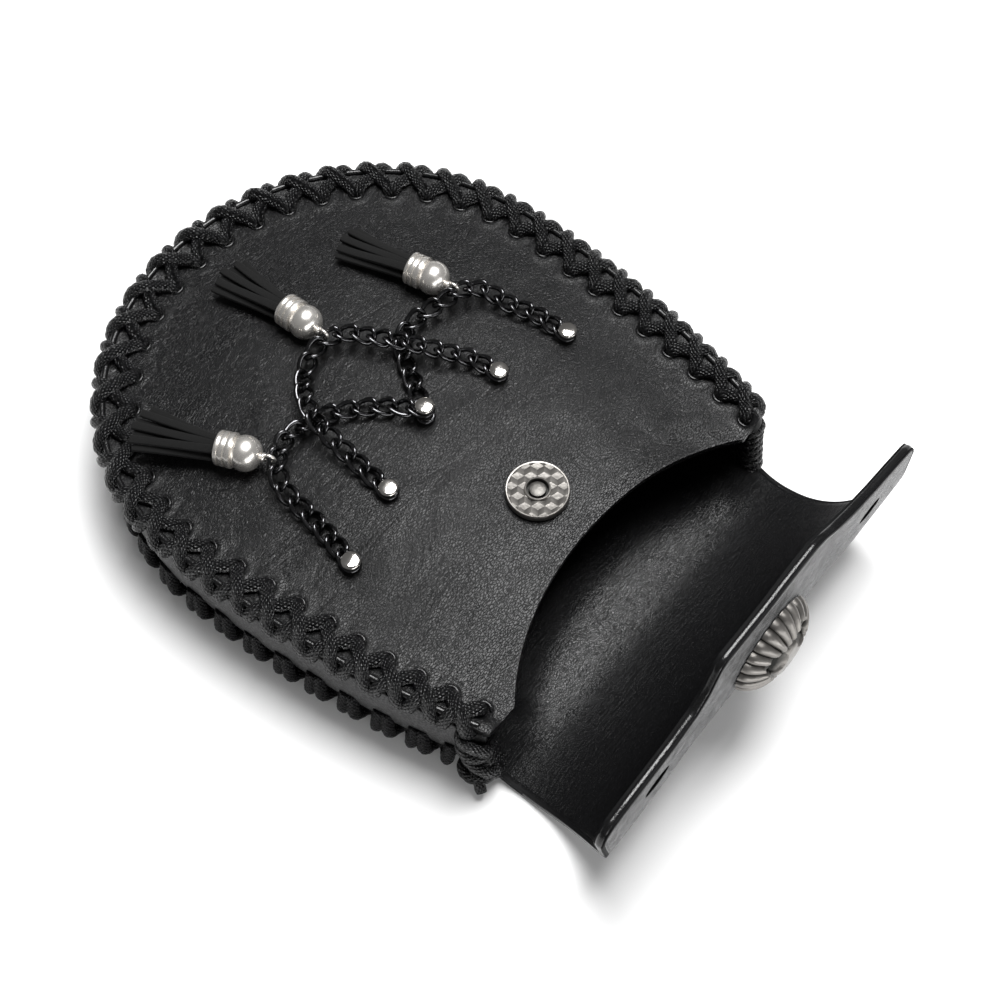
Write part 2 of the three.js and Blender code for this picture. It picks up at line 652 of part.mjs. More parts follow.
// Fringe: strips of suede that fan out of the cap and droop to the leather
const FRINGE_HEAD_LENGTH = 3;
const STRIP_SPREAD_AT_HEAD = 2.2;
const STRIP_FAN_SHARE = 0.62;     // share of the fan that the outer strips reach at their tips
function tasselFringe(tassel) {
  const start = capStart + CAP_LENGTH - EYE_RADIUS - CAP_RECESS + GAP;
  const head = welded(new THREE.CylinderGeometry(FRINGE_HEAD, FRINGE_HEAD, FRINGE_HEAD_LENGTH, HOLE_SIDES));
  head.rotateX(Math.PI / 2).translate(0, 0, start + FRINGE_HEAD_LENGTH / 2);
  const pieces = [head];
  for (let i = 0; i < STRIP.count; i += 1) {
    const spread = (2 * i) / (STRIP.count - 1) - 1;
    const isUpper = i % 2 === 0;
    const sections = [0, 0.5, 1].map((portion) => {
      const opened = FRINGE_LENGTH * tassel.fan * STRIP_FAN_SHARE * portion ** 1.3;
      const fan = spread * (STRIP_SPREAD_AT_HEAD + opened);
      const floor = tassel.tipRise - TASSEL_AXIS + (isUpper ? STRIP.thick * 1.2 : 0);
      const rise = lerp(isUpper ? 1.6 : -1.6, floor, smoothstep(portion, 0, 0.9));
      const z = start + CAP_RECESS + portion * (FRINGE_LENGTH - 2 * Math.abs(spread));
      const half = STRIP.wide / 2;
      return [
        vec(fan - half, rise, z), vec(fan + half, rise, z),
        vec(fan + half, rise + STRIP.thick, z), vec(fan - half, rise + STRIP.thick, z),
      ];
    });
    pieces.push(loft(sections));
  }
  return fused(pieces).applyMatrix4(tasselFrame(tassel));
}

// Assembly
const pouch = new THREE.Group();
function add(name, geometry, finish) {
  const mesh = new THREE.Mesh(geometry, new THREE.MeshStandardMaterial(finish));
  mesh.name = name;
  pouch.add(mesh);
}

add('front_panel', frontPanel(), LEATHER);
add('gusset', gusset(), LEATHER);
add('back_flap', backFlap(), LEATHER);
add('front_lacing', lacing(DEPTH, 1, FRONT_LACE_START), CORD);
add('back_lacing', lacing(BACK_RAISE, -1, BACK_LACE_START), CORD);
add('corner_binding_1', cornerBinding(1), CORD);
add('corner_binding_2', cornerBinding(-1), CORD);
RIVETS.forEach((rivet, i) => add(`rivet_${i + 1}`, rivetSolid(rivet), NICKEL));
add('snap_plate', snapPlate(), ANTIQUE);
add('flap_boss', flapBoss(), ANTIQUE);
add('clasp_stud', claspStud(), NICKEL);
CHAINS.forEach((chain) => add(chain.name, joinedLinks(chainLinks(chain)), GUNMETAL));
TASSELS.forEach((tassel, i) => {
  add(`tassel_cap_${i + 1}`, tasselCap(tassel), NICKEL);
  add(`tassel_fringe_${i + 1}`, tasselFringe(tassel), SUEDE);
});

// The origin goes under the middle of the pouch, on the floor
const box = new THREE.Box3().setFromObject(pouch);
const middle = box.getCenter(vec(0, 0, 0));
pouch.position.set(-middle.x, -middle.y, -box.min.z);

export default pouch;
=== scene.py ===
# %% [markdown]
# A leather belt pouch lies on its back on a white table with its flap open. The model of its solids is
# loaded first and stays where it is. Every piece below is then modelled over the solid that it stands for,
# at the same place, with the finish and the small forms that the solids leave out.

# %% The frame
import math

import bpy
import numpy as np
from mathutils import Matrix, Vector, noise


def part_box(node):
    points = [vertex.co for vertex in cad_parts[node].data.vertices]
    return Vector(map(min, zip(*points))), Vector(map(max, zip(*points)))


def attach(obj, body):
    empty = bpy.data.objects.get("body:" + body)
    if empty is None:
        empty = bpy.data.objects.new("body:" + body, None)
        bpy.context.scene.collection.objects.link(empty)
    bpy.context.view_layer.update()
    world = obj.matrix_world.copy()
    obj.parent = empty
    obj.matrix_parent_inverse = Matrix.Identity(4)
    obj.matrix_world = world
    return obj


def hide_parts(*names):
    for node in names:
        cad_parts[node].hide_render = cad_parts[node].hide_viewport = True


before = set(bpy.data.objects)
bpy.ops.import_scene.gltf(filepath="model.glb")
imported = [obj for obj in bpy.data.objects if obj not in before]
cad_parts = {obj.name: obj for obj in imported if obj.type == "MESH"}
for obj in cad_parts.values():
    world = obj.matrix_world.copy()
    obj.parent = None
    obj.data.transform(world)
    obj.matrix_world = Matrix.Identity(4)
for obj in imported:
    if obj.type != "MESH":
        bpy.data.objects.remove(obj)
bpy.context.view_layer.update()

# %% [markdown]
# Most places on the pouch are easiest to say in millimetres from the centre of its front snap, with
# the height counted from the table. These few helpers turn such places into the scene's metres, and read or
# set all the vertices of a piece at once, which is how a sheet of leather is pushed into shape below.

# %% Places, vertices and modifiers
MM = 0.001
SHARP_DEGREES = 70
snap_low, snap_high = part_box("snap_plate")
SNAP = np.array([(snap_low.x + snap_high.x) / 2, (snap_low.y + snap_high.y) / 2, 0.0])


def on_pouch(x, y, z):
    """Places in metres, from millimetres measured from the snap and the table."""
    return np.stack(np.broadcast_arrays(x, y, z), axis=-1) * MM + SNAP


def vertices_of(piece):
    flat = np.empty(3 * len(piece.data.vertices))
    piece.data.vertices.foreach_get("co", flat)
    return flat.reshape(-1, 3)


def move_vertices(piece, places):
    piece.data.vertices.foreach_set("co", places.ravel())
    piece.data.update()


def set_uv(piece, u, v):
    """One UV value for each vertex, in metres on the flat leather or along the cord."""
    layer = piece.data.uv_layers.active or piece.data.uv_layers.new(name="UVMap")
    corners = np.empty(len(piece.data.loops), dtype=np.int32)
    piece.data.loops.foreach_get("vertex_index", corners)
    layer.data.foreach_set("uv", np.stack([u[corners], v[corners]], axis=-1).ravel())


def uv_of(piece):
    """The UV value of each vertex, in millimetres."""
    corners = np.empty(len(piece.data.loops), dtype=np.int32)
    piece.data.loops.foreach_get("vertex_index", corners)
    flat = np.empty(2 * len(corners))
    piece.data.uv_layers.active.data.foreach_get("uv", flat)
    values = np.zeros((len(piece.data.vertices), 2))
    values[corners] = flat.reshape(-1, 2)
    return values / MM


def store_value(piece, name, values):
    """A value on each vertex, which a finish can read by its name."""
    layer = piece.data.attributes.get(name) or piece.data.attributes.new(name, "FLOAT", "POINT")
    layer.data.foreach_set("value", np.asarray(values, dtype=np.float32))


def only(piece):
    """Select this piece alone, so that the next operator acts on nothing else."""
    bpy.ops.object.select_all(action="DESELECT")
    piece.select_set(True)
    bpy.context.view_layer.objects.active = piece


def apply_modifier(piece, kind, **settings):
    only(piece)
    modifier = piece.modifiers.new(kind.lower(), kind)
    for name, value in settings.items():
        setattr(modifier, name, value)
    bpy.ops.object.modifier_apply(modifier=modifier.name)


def round_edges(piece, width, segments):
    """A round on every sharp edge of a cut sheet, with its width in millimetres."""
    apply_modifier(piece, "BEVEL", width=width * MM, segments=segments, limit_method="ANGLE",
                   angle_limit=math.radians(SHARP_DEGREES))


def shade_smooth(piece, degrees=180):
    only(piece)
    if degrees < 180:
        bpy.ops.object.shade_smooth_by_angle(angle=math.radians(degrees))
    else:
        bpy.ops.object.shade_smooth()


def mesh_piece(name, points, faces):
    """A new piece from points in metres and lists of corners."""
    mesh = bpy.data.meshes.new(name)
    mesh.from_pydata([tuple(p) for p in points], [], faces)
    mesh.validate()
    piece = bpy.data.objects.new(name, mesh)
    bpy.context.scene.collection.objects.link(piece)
    return piece


def seat(piece, slot, finish, *nodes):
    """The finished piece moves with the pouch, stands for its solids and takes its finish."""
    piece.data.materials.clear()
    piece.data.materials.append(finish)
    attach(piece, "root")
    if nodes:
        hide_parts(*nodes)
    print(piece.name, "has", len(piece.data.polygons), "faces")


def smoothstep(value, start, end):
    t = np.clip((value - start) / (end - start), 0, 1)
    return t * t * (3 - 2 * t)


print("snap centre in mm:", np.round(SNAP / MM, 1))

# %% [markdown]
# The photograph looks down on the pouch from its mouth side. The camera comes first, because everything
# after it is judged through it. Its height and turn were worked out from the snap, the rivets and the
# outline of the front, and a view of forty degrees.

# %% Camera
VIEW_ANGLE = 40.0
VIEW_TURN = 129.332
VIEW_HEIGHT = 61.447
VIEW_DISTANCE = 376.6
LOOK_AT = (7.9, -6.8, 30.2)


def camera_back(turn, height):
    """The direction from the pouch to the camera."""
    a, e = math.radians(turn), math.radians(height)
    return Vector((math.sin(a) * math.cos(e), -math.cos(a) * math.cos(e), math.sin(e)))


bpy.ops.object.select_all(action="DESELECT")
bpy.ops.object.camera_add()
camera = bpy.context.object
camera.name = "camera"
back = camera_back(VIEW_TURN, VIEW_HEIGHT)
target = Vector(on_pouch(*LOOK_AT))
camera.location = target + back * VIEW_DISTANCE * MM
camera.rotation_euler = back.to_track_quat("Z", "Y").to_euler()
camera.data.angle = math.radians(VIEW_ANGLE)
camera.data.clip_start = 0.01
bpy.context.scene.camera = camera
print("camera at", [round(x, 3) for x in camera.location])

# %% [markdown]
# The pouch was photographed on a white table under one large soft box that hangs over its far side, so its
# shadows are short, soft and on the near side. Black leather shows mostly what it mirrors, so the place of
# the box also decides where the leather looks grey. A low panel past the flap lights its outer face.

# %% Floor and light
FLOOR_SIZE = 4.0
FLOOR_GLOW = 0.03
SURROUND = 0.12


def plain_material(name, colour, roughness):
    material = bpy.data.materials.new(name)
    material.use_nodes = True
    shader = material.node_tree.nodes["Principled BSDF"]
    shader.inputs["Base Color"].default_value = (*colour, 1)
    shader.inputs["Roughness"].default_value = roughness
    return material, shader


bpy.ops.object.select_all(action="DESELECT")
bpy.ops.mesh.primitive_plane_add(size=FLOOR_SIZE)
floor = bpy.context.object
floor.name = "floor"
floor_white, floor_shader = plain_material("floor_white", (0.86, 0.86, 0.86), 0.6)
floor_shader.inputs["Specular IOR Level"].default_value = 0.1
floor_shader.inputs["Emission Color"].default_value = (1, 1, 1, 1)
floor_shader.inputs["Emission Strength"].default_value = FLOOR_GLOW
floor.data.materials.append(floor_white)

world = bpy.data.worlds.new("pale_surround")
bpy.context.scene.world = world
world.use_nodes = True
world.node_tree.nodes["Background"].inputs["Color"].default_value = (1, 1, 1, 1)
world.node_tree.nodes["Background"].inputs["Strength"].default_value = SURROUND

# Lamps: name, place, what it looks at, width, height and power
LAMPS = [
    ("soft_box", (-0.16, -0.02, 0.60), (0.02, 0.03, 0.0), 0.36, 0.36, 7.5),
    ("low_panel", (0.15, 0.85, 0.20), (0.0, 0.1, 0.05), 1.1, 0.36, 5.0),
]
for name, place, looks_at, width, height, power in LAMPS:
    bpy.ops.object.select_all(action="DESELECT")
    bpy.ops.object.light_add(type="AREA", location=place)
    lamp = bpy.context.object
    lamp.name = name
    lamp.data.shape = "RECTANGLE"
    lamp.data.size = width
    lamp.data.size_y = height
    lamp.data.energy = power
    lamp.rotation_euler = (Vector(place) - Vector(looks_at)).to_track_quat("Z", "Y").to_euler()
bpy.context.scene.view_settings.view_transform = "Standard"
print("lamps:", [lamp[0] for lamp in LAMPS])

# %% [markdown]
# The outline of the front is a half round with two slow curves up to the mouth corners. The lacing, the
# gusset and both panels follow it, so it is written once: a place along the edge, how far that lies in from
# the edge, and how high. The front swells a little in the middle, as filled leather does.

# %% Outline of the pouch
DEPTH = 29.0
FRONT_WALL = 2.0
SIDE_WALL = 1.8
BACK_WALL = 2.8
BELLY_RADIUS = 76.0
BELLY_Y = -61.5
FLANK_RADIUS = 321.0
MOUTH_Y = 33.6
MOUTH_DIP = 16.0
MOUTH_KINK_X = 51.4
FRONT_CROWN = 1.8
CROWN_START = 11.0
CROWN_END = 45.0
LIP = 1.6
LIP_WIDTH = 9.0
LIP_FADE = 40.0
EDGE_CURL = 1.6
CURL_START = 6.0
CURL_END = 0.5
BACK_RAISE = 3.4
FLANK_X = BELLY_RADIUS - FLANK_RADIUS
FLANK_ANGLE = math.asin((MOUTH_Y - BELLY_Y) / FLANK_RADIUS)
FLANK_LENGTH = FLANK_RADIUS * FLANK_ANGLE
OUTLINE = 2 * FLANK_LENGTH + math.pi * BELLY_RADIUS


def edge_point(along, inset):
    """x and y of a place along the outline from the +X mouth corner, and so far in from the edge."""
    along, inset = np.broadcast_arrays(np.asarray(along, float), np.asarray(inset, float))
    first = along < FLANK_LENGTH
    last = along > OUTLINE - FLANK_LENGTH
    turn = -(along - FLANK_LENGTH) / BELLY_RADIUS
    turn = np.where(first, FLANK_ANGLE - along / FLANK_RADIUS, turn)
    turn = np.where(last, -math.pi - (along - OUTLINE + FLANK_LENGTH) / FLANK_RADIUS, turn)
    centre = np.where(first, FLANK_X, np.where(last, -FLANK_X, 0.0))
    radius = np.where(first | last, FLANK_RADIUS, BELLY_RADIUS) - inset
    return centre + radius * np.cos(turn), BELLY_Y + radius * np.sin(turn)


def half_width(y):
    rise = y - BELLY_Y
    belly = np.sqrt(np.maximum(BELLY_RADIUS**2 - rise**2, 0))
    flank = FLANK_X + np.sqrt(FLANK_RADIUS**2 - rise**2)
    return np.where(rise < 0, belly, flank)


def distance_to_edge(x, y):
    rise = y - BELLY_Y
    belly = BELLY_RADIUS - np.hypot(x, rise)
    flank = FLANK_RADIUS - np.hypot(np.abs(x) - FLANK_X, rise)
    return np.where(rise < 0, belly, flank)


def front_top(x, y):
    return DEPTH + FRONT_CROWN * smoothstep(distance_to_edge(x, y), CROWN_START, CROWN_END)


def edge_curl(inset):
    """How far the laced edge of the front is drawn up by its cord."""
    return EDGE_CURL * (1 - smoothstep(inset, CURL_END, CURL_START))


def with_lip(x, y):
    """Round the belly the front stands out a little past the gusset."""
    rise = np.minimum(y - BELLY_Y, 0)
    reach = np.hypot(x, rise) + 1e-6
    out = LIP * smoothstep(-rise, 0, LIP_FADE) * smoothstep(reach, BELLY_RADIUS - LIP_WIDTH, BELLY_RADIUS)
    return x + out * x / reach, y + out * rise / reach


def mouth_edge(x):
    radius = (MOUTH_KINK_X**2 + MOUTH_DIP**2) / (2 * MOUTH_DIP)
    dip = MOUTH_Y - MOUTH_DIP + radius - np.sqrt(radius**2 - np.minimum(np.abs(x), MOUTH_KINK_X) ** 2)
    return np.where(np.abs(x) >= MOUTH_KINK_X, MOUTH_Y, dip)


print("outline length:", round(OUTLINE, 1), "mm")

# %% [markdown]
# Black leather is made of three things at once: a fine pebble grain with creases between the pebbles, soft
# wrinkles some millimetres apart, and a gloss that is uneven where hands have polished it. One node group
# makes them from a place on the surface, and every leather on the pouch uses it with values of its own.

# %% Leather grain group
WARPS_PER_M = 420.0
WARP_SHIFT = 0.0009
CREASE_WIDTH = 0.16
CREASE_SHARE = 0.45
FINE_PER_M = 2600.0
FINE_SHARE = 0.5
FOLD_WIDTH = 0.09
PATCHES_PER_M = 32.0


def new_group(name, inputs, outputs):
    group = bpy.data.node_groups.new(name, "ShaderNodeTree")
    for label, kind, value in inputs:
        socket = group.interface.new_socket(name=label, in_out="INPUT", socket_type=kind)
        if value is not None:
            socket.default_value = value
    for label, kind in outputs:
        group.interface.new_socket(name=label, in_out="OUTPUT", socket_type=kind)
    return group, group.nodes.new("NodeGroupInput"), group.nodes.new("NodeGroupOutput")


def add_node(tree, kind, **settings):
    node = tree.nodes.new(kind)
    for name, value in settings.items():
        setattr(node, name, value)
    return node


def wire(tree, value, socket):
    """Link a node's output to a socket, or set the socket to a plain value."""
    if hasattr(value, "is_linked"):
        tree.links.new(value, socket)
    else:
        socket.default_value = value


def math_node(tree, operation, first, second=0.0):
    node = add_node(tree, "ShaderNodeMath", operation=operation)
    wire(tree, first, node.inputs[0])
    wire(tree, second, node.inputs[1])
    return node.outputs[0]


def noise_node(tree, vector, scale, detail=2.0, rough=0.5, distortion=0.0):
    node = add_node(tree, "ShaderNodeTexNoise")
    wire(tree, vector, node.inputs["Vector"])
    wire(tree, scale, node.inputs["Scale"])
    node.inputs["Detail"].default_value = detail
    node.inputs["Roughness"].default_value = rough
    node.inputs["Distortion"].default_value = distortion
    return node.outputs["Fac"]


def map_range(tree, value, low, high, to_low, to_high):
    node = add_node(tree, "ShaderNodeMapRange", interpolation_type="SMOOTHSTEP")
    wire(tree, value, node.inputs["Value"])
    for label, number in zip(("From Min", "From Max", "To Min", "To Max"), (low, high, to_low, to_high)):
        wire(tree, number, node.inputs[label])
    return node.outputs["Result"]


def stretched(tree, vector, scale):
    node = add_node(tree, "ShaderNodeMapping")
    wire(tree, vector, node.inputs["Vector"])
    node.inputs["Scale"].default_value = scale
    return node.outputs["Vector"]


def make_leather_grain():
    group, inside, out = new_group(
        "leather_grain",
        [("Place", "NodeSocketVector", None), ("Pebbles per m", "NodeSocketFloat", 1100.0),
         ("Wrinkles per m", "NodeSocketFloat", 70.0), ("Wrinkle Depth", "NodeSocketFloat", 1.0)],
        [("Height", "NodeSocketFloat"), ("Polish", "NodeSocketFloat"), ("Crease", "NodeSocketFloat")],
    )
    place = inside.outputs["Place"]
    warp = add_node(group, "ShaderNodeTexNoise")
    wire(group, place, warp.inputs["Vector"])
    warp.inputs["Scale"].default_value = WARPS_PER_M
    shifted = add_node(group, "ShaderNodeVectorMath", operation="MULTIPLY_ADD")
    wire(group, warp.outputs["Color"], shifted.inputs[0])
    shifted.inputs[1].default_value = (WARP_SHIFT, WARP_SHIFT, WARP_SHIFT)
    wire(group, place, shifted.inputs[2])
    pebbles = add_node(group, "ShaderNodeTexVoronoi", feature="DISTANCE_TO_EDGE")
    wire(group, shifted.outputs["Vector"], pebbles.inputs["Vector"])
    wire(group, inside.outputs["Pebbles per m"], pebbles.inputs["Scale"])
    crease = map_range(group, pebbles.outputs["Distance"], 0.0, CREASE_WIDTH, 0.0, 1.0)
    fine = noise_node(group, place, FINE_PER_M, 3.0)
    broad = noise_node(group, place, inside.outputs["Wrinkles per m"], 3.0, 0.55, 0.8)
    fold = math_node(group, "ABSOLUTE", math_node(group, "SUBTRACT", broad, 0.5))
    fold = map_range(group, fold, 0.0, FOLD_WIDTH, 0.0, 1.0)
    fold = math_node(group, "MULTIPLY", fold, inside.outputs["Wrinkle Depth"])
    height = math_node(group, "MULTIPLY", crease, CREASE_SHARE)
    height = math_node(group, "ADD", height, math_node(group, "MULTIPLY", fine, FINE_SHARE))
    height = math_node(group, "ADD", height, fold)
    patches = noise_node(group, place, PATCHES_PER_M, 3.0, 0.6)
    wire(group, height, out.inputs["Height"])
    wire(group, map_range(group, patches, 0.32, 0.68, 0.0, 1.0), out.inputs["Polish"])
    wire(group, crease, out.inputs["Crease"])
    return group


leather_grain = make_leather_grain()
print("group:", leather_grain.name)

# %% [markdown]
# A finish starts from a place on the surface, goes through a few patterns and ends in the sockets of one
# shader. These helpers are the steps that the finishes below share: where a place is read, how a height
# becomes a bump, how a value that was stored on the vertices is read, and how two colours are mixed.

# %% Steps of a finish
def object_place(tree):
    return add_node(tree, "ShaderNodeTexCoord").outputs["Object"]


def uv_place(tree):
    return add_node(tree, "ShaderNodeTexCoord").outputs["UV"]


def bump(tree, height, distance, strength):
    node = add_node(tree, "ShaderNodeBump")
    wire(tree, height, node.inputs["Height"])
    node.inputs["Distance"].default_value = distance
    node.inputs["Strength"].default_value = strength
    return node.outputs["Normal"]


def stored_value(tree, name):
    return add_node(tree, "ShaderNodeAttribute", attribute_name=name).outputs["Fac"]


def mix_colour(tree, share, first, second):
    node = add_node(tree, "ShaderNodeMix", data_type="RGBA")
    wire(tree, share, node.inputs[0])
    wire(tree, first, node.inputs[6])
    wire(tree, second, node.inputs[7])
    return node.outputs[2]


print("finishes read Object, UV and stored places")

# %% [markdown]
# Four leathers use the grain: the satin front, the smoother gusset, the back with its brushed inner face, and
# painted edges. Colour stays close to black everywhere, with the creases of the grain a little blacker as
# painted shade. The look comes from how rough the surface is and from its bumps, because nearly all the light
# that leaves black leather is mirrored light. Only the outer face of the flap is painted grey, partly a bloom
# of old wax and partly a painted reflection of the white table. Three values on the back's vertices say where
# that is, where the edges are, and where the inner face has a painted sheen near the mouth, which falls to
# painted shade inside the mouth and towards the free edge. The gusset is finely scuffed.

# %% Leathers
BLACK = (0.0055, 0.0055, 0.006)
# Painted shade: the creases of the grain are a little blacker than the leather.
CREASE_SHADE = (0.003, 0.003, 0.003)
# Grey of the flap's outer face: partly a wax bloom, partly a painted reflection of the white table
BLOOM_AND_REFLECTION_GREY = (0.16, 0.16, 0.162)
CUT_ROUGHNESS = 0.6
# Shine of the inner face outside its painted sheen: painted shade inside the mouth and towards the free edge
SHINE_BEYOND_SHEEN = 0.05
PEBBLE_POLISH = 0.4
SCUFF = (0.075, 0.075, 0.076)
SCUFFS_PER_M = 1500.0
# Streaks of the brushed inner face for each metre across and along the leather
STREAK_SCALE = (260, 1500, 1)
MOTTLES_PER_M = 260.0
GRAIN_BUMP = 0.00025


def leather(name, pebbles, wrinkles, depth, rough, bump_strength, shine, streaks=0.0, along_grain=1.0,
            scuffed=False):
    """rough: roughness of polished and plain places, along_grain: below 1 draws the grain out across."""
    material, shader = plain_material(name, BLACK, rough[1])
    shader.inputs["Specular IOR Level"].default_value = shine
    tree = material.node_tree
    place = object_place(tree)
    grain = add_node(tree, "ShaderNodeGroup", node_tree=leather_grain)
    wire(tree, stretched(tree, place, (along_grain, 1, 1)), grain.inputs["Place"])
    grain.inputs["Pebbles per m"].default_value = pebbles
    grain.inputs["Wrinkles per m"].default_value = wrinkles
    grain.inputs["Wrinkle Depth"].default_value = depth
    height = grain.outputs["Height"]
    on_pebbles = math_node(tree, "MULTIPLY", grain.outputs["Crease"], PEBBLE_POLISH)
    polish = math_node(tree, "ADD", grain.outputs["Polish"], on_pebbles)
    # Painted shade in the creases of the grain
    colour = mix_colour(tree, grain.outputs["Crease"], (*CREASE_SHADE, 1), (*BLACK, 1))
    if scuffed:
        flecks = map_range(tree, noise_node(tree, place, SCUFFS_PER_M, 3.0, 0.65), 0.42, 0.66, 0.0, 1.0)
        colour = mix_colour(tree, flecks, colour, (*SCUFF, 1))
    if streaks:
        lines = noise_node(tree, stretched(tree, uv_place(tree), STREAK_SCALE), 1.0, 2.0, 0.6)
        height = math_node(tree, "ADD", height, math_node(tree, "MULTIPLY", lines, streaks))
        uncut = math_node(tree, "SUBTRACT", 1.0, stored_value(tree, "cut"))
        height = math_node(tree, "MULTIPLY", height, uncut)
        mottle = map_range(tree, noise_node(tree, place, MOTTLES_PER_M, 4.0, 0.7), 0.3, 0.7, 0.35, 1.0)
        # Outer face painted grey: a bloom of wax and a painted reflection of the table
        bloom_and_reflection = math_node(tree, "MULTIPLY", stored_value(tree, "outer"), mottle)
        colour = mix_colour(tree, bloom_and_reflection, colour, (*BLOOM_AND_REFLECTION_GREY, 1))
    wire(tree, bump(tree, height, GRAIN_BUMP, bump_strength), shader.inputs["Normal"])
    roughness = map_range(tree, polish, 0.0, 1.0 + PEBBLE_POLISH, rough[1], rough[0])
    if streaks:
        raw = math_node(tree, "MULTIPLY", stored_value(tree, "cut"), CUT_ROUGHNESS)
        roughness = math_node(tree, "MAXIMUM", roughness, raw)
        # Painted sheen: high shine near the mouth, low shine as painted shade inside the mouth and towards
        # the free edge
        polished = map_range(tree, stored_value(tree, "painted_sheen"), 0.0, 1.0, SHINE_BEYOND_SHEEN, shine)
        wire(tree, polished, shader.inputs["Specular IOR Level"])
    wire(tree, roughness, shader.inputs["Roughness"])
    wire(tree, colour, shader.inputs["Base Color"])
    return material


front_leather = leather("front_leather", 1900.0, 75.0, 0.35, (0.27, 0.4), 0.55, 0.2, along_grain=0.45)
gusset_leather = leather("gusset_leather", 1200.0, 60.0, 0.3, (0.36, 0.5), 0.7, 0.3, scuffed=True)
back_leather = leather("back_leather", 1900.0, 110.0, 0.0, (0.22, 0.28), 0.6, 0.36, streaks=1.8)
edge_paint = leather("edge_paint", 900.0, 60.0, 0.2, (0.2, 0.3), 0.15, 0.4)
print("leathers:", front_leather.name, gusset_leather.name, back_leather.name, edge_paint.name)

# %% [markdown]
# The front panel is one sheet of leather about two millimetres thick. A fine grid is bent onto the outline:
# its lower part takes the half round the way a square is rounded into a disc, which keeps every cell whole.
# The crown, the slow unevenness of soft leather and a pucker round each lacing hole are pushed in as small
# moves of the vertices, and Solidify and Bevel then give the cut edge its thickness.

# %% Front panel
# Holes of the front: number from the near corner, place along the outline and inset. The rest lie between.
HOLE_ROWS = [
    (1, 4.2, 5.7), (6, 52.6, 8.2), (8, 73.2, 8.1), (11, 104.1, 6.6), (13, 126.2, 6.7),
    (16, 164.3, 7.5), (22, 238.5, 7.4), (25, 274.6, 6.4), (28, 311.3, 6.7),
    (32, 356.6, 8.1), (35, 388.1, 8.0), (39, 430.2, 5.2),
]
BACK_LACE_START = 9.5
HOLE_INSET = 7.7
BACK_STITCHES = 38
PUCKER_DEPTH = 1.5
PUCKER_WIDTH = 1.9
PUCKER_RIM = 0.45
PUCKER_RIM_AT = 3.2
PUCKER_RIM_WIDTH = 0.9
EDGE_ROUND = 0.55
EVEN_BORDER = (9, 22)
# Slow and quick unevenness of the front: height, size and seed
FRONT_WAVES = [(0.45, 34, 1.3), (0.2, 11, 4.1)]


def even_holes(start, stitches):
    """How far along the outline each hole lies, when they are even along their own line."""
    along = np.linspace(0, OUTLINE, 4000)
    steps = np.linalg.norm(np.diff(np.stack(edge_point(along, HOLE_INSET)), axis=1), axis=0)
    line = np.concatenate([[0], np.cumsum(steps)])
    ends = np.interp([start, OUTLINE - start], along, line)
    return np.interp(np.linspace(*ends, stitches), line, along)


def hole_table():
    number, along, inset = np.array(HOLE_ROWS).T
    every = np.arange(1, number[-1] + 1)
    return np.interp(every, number, along), np.interp(every, number, inset)


FRONT_HOLES, FRONT_INSETS = hole_table()
BACK_HOLES = even_holes(BACK_LACE_START, BACK_STITCHES)


def leather_grid(name, columns, rows):
    """A flat grid, with how far each vertex lies across and along it, from -1 to 1."""
    bpy.ops.object.select_all(action="DESELECT")
    bpy.ops.mesh.primitive_grid_add(x_subdivisions=columns, y_subdivisions=rows, size=2)
    piece = bpy.context.object
    piece.name = name
    flat = vertices_of(piece)
    return piece, flat[:, 0], flat[:, 1]


def rounded_bottom(across, below):
    """x and y in the half round, where below runs from -1 at the bottom to 0 at its widest."""
    x = BELLY_RADIUS * across * np.sqrt(1 - below**2 / 2)
    y = BELLY_Y + BELLY_RADIUS * below * np.sqrt(1 - across**2 / 2)
    return x, y


def unevenness(x, y, size, seed):
    """Smooth bumps of about the given size in millimetres, from -1 to 1."""
    return np.array([noise.noise((a / size, b / size, seed)) for a, b in zip(x, y)])


def puckers(x, y):
    """Leather pulled into each lacing hole, with a raised rim on the side away from the edge."""
    hole_x, hole_y = edge_point(FRONT_HOLES, FRONT_INSETS)
    nearest = np.full(len(x), 1e3)
    for cx, cy in zip(hole_x, hole_y):
        nearest = np.minimum(nearest, np.hypot(x - cx, y - cy))
    dip = PUCKER_DEPTH * np.exp(-((nearest / PUCKER_WIDTH) ** 2))
    rim = PUCKER_RIM * np.exp(-(((nearest - PUCKER_RIM_AT) / PUCKER_RIM_WIDTH) ** 2))
    return rim - dip


chest_height = MOUTH_Y - BELLY_Y
front_panel, across, up = leather_grid("front_leather_panel", columns=150, rows=168)
belly_share = BELLY_RADIUS / (BELLY_RADIUS + chest_height) * 2 - 1
belly_x, belly_y = rounded_bottom(across, np.minimum(up - belly_share, 0) / (1 + belly_share))
rise = np.maximum(up - belly_share, 0) / (1 - belly_share)
chest_y = BELLY_Y + (mouth_edge(across * half_width(MOUTH_Y)) - BELLY_Y) * rise
is_belly = up < belly_share
x = np.where(is_belly, belly_x, across * half_width(chest_y))
y = np.where(is_belly, belly_y, chest_y)
z = front_top(x, y) + puckers(x, y) + edge_curl(distance_to_edge(x, y))
inner = smoothstep(distance_to_edge(x, y), *EVEN_BORDER)
z += inner * sum(height * unevenness(x, y, size, seed) for height, size, seed in FRONT_WAVES)
move_vertices(front_panel, on_pouch(*with_lip(x, y), z))
set_uv(front_panel, x * MM, y * MM)
apply_modifier(front_panel, "SOLIDIFY", thickness=FRONT_WALL * MM, offset=-1)
round_edges(front_panel, EDGE_ROUND, 3)
shade_smooth(front_panel)
seat(front_panel, "black_leather", front_leather, "front_panel")
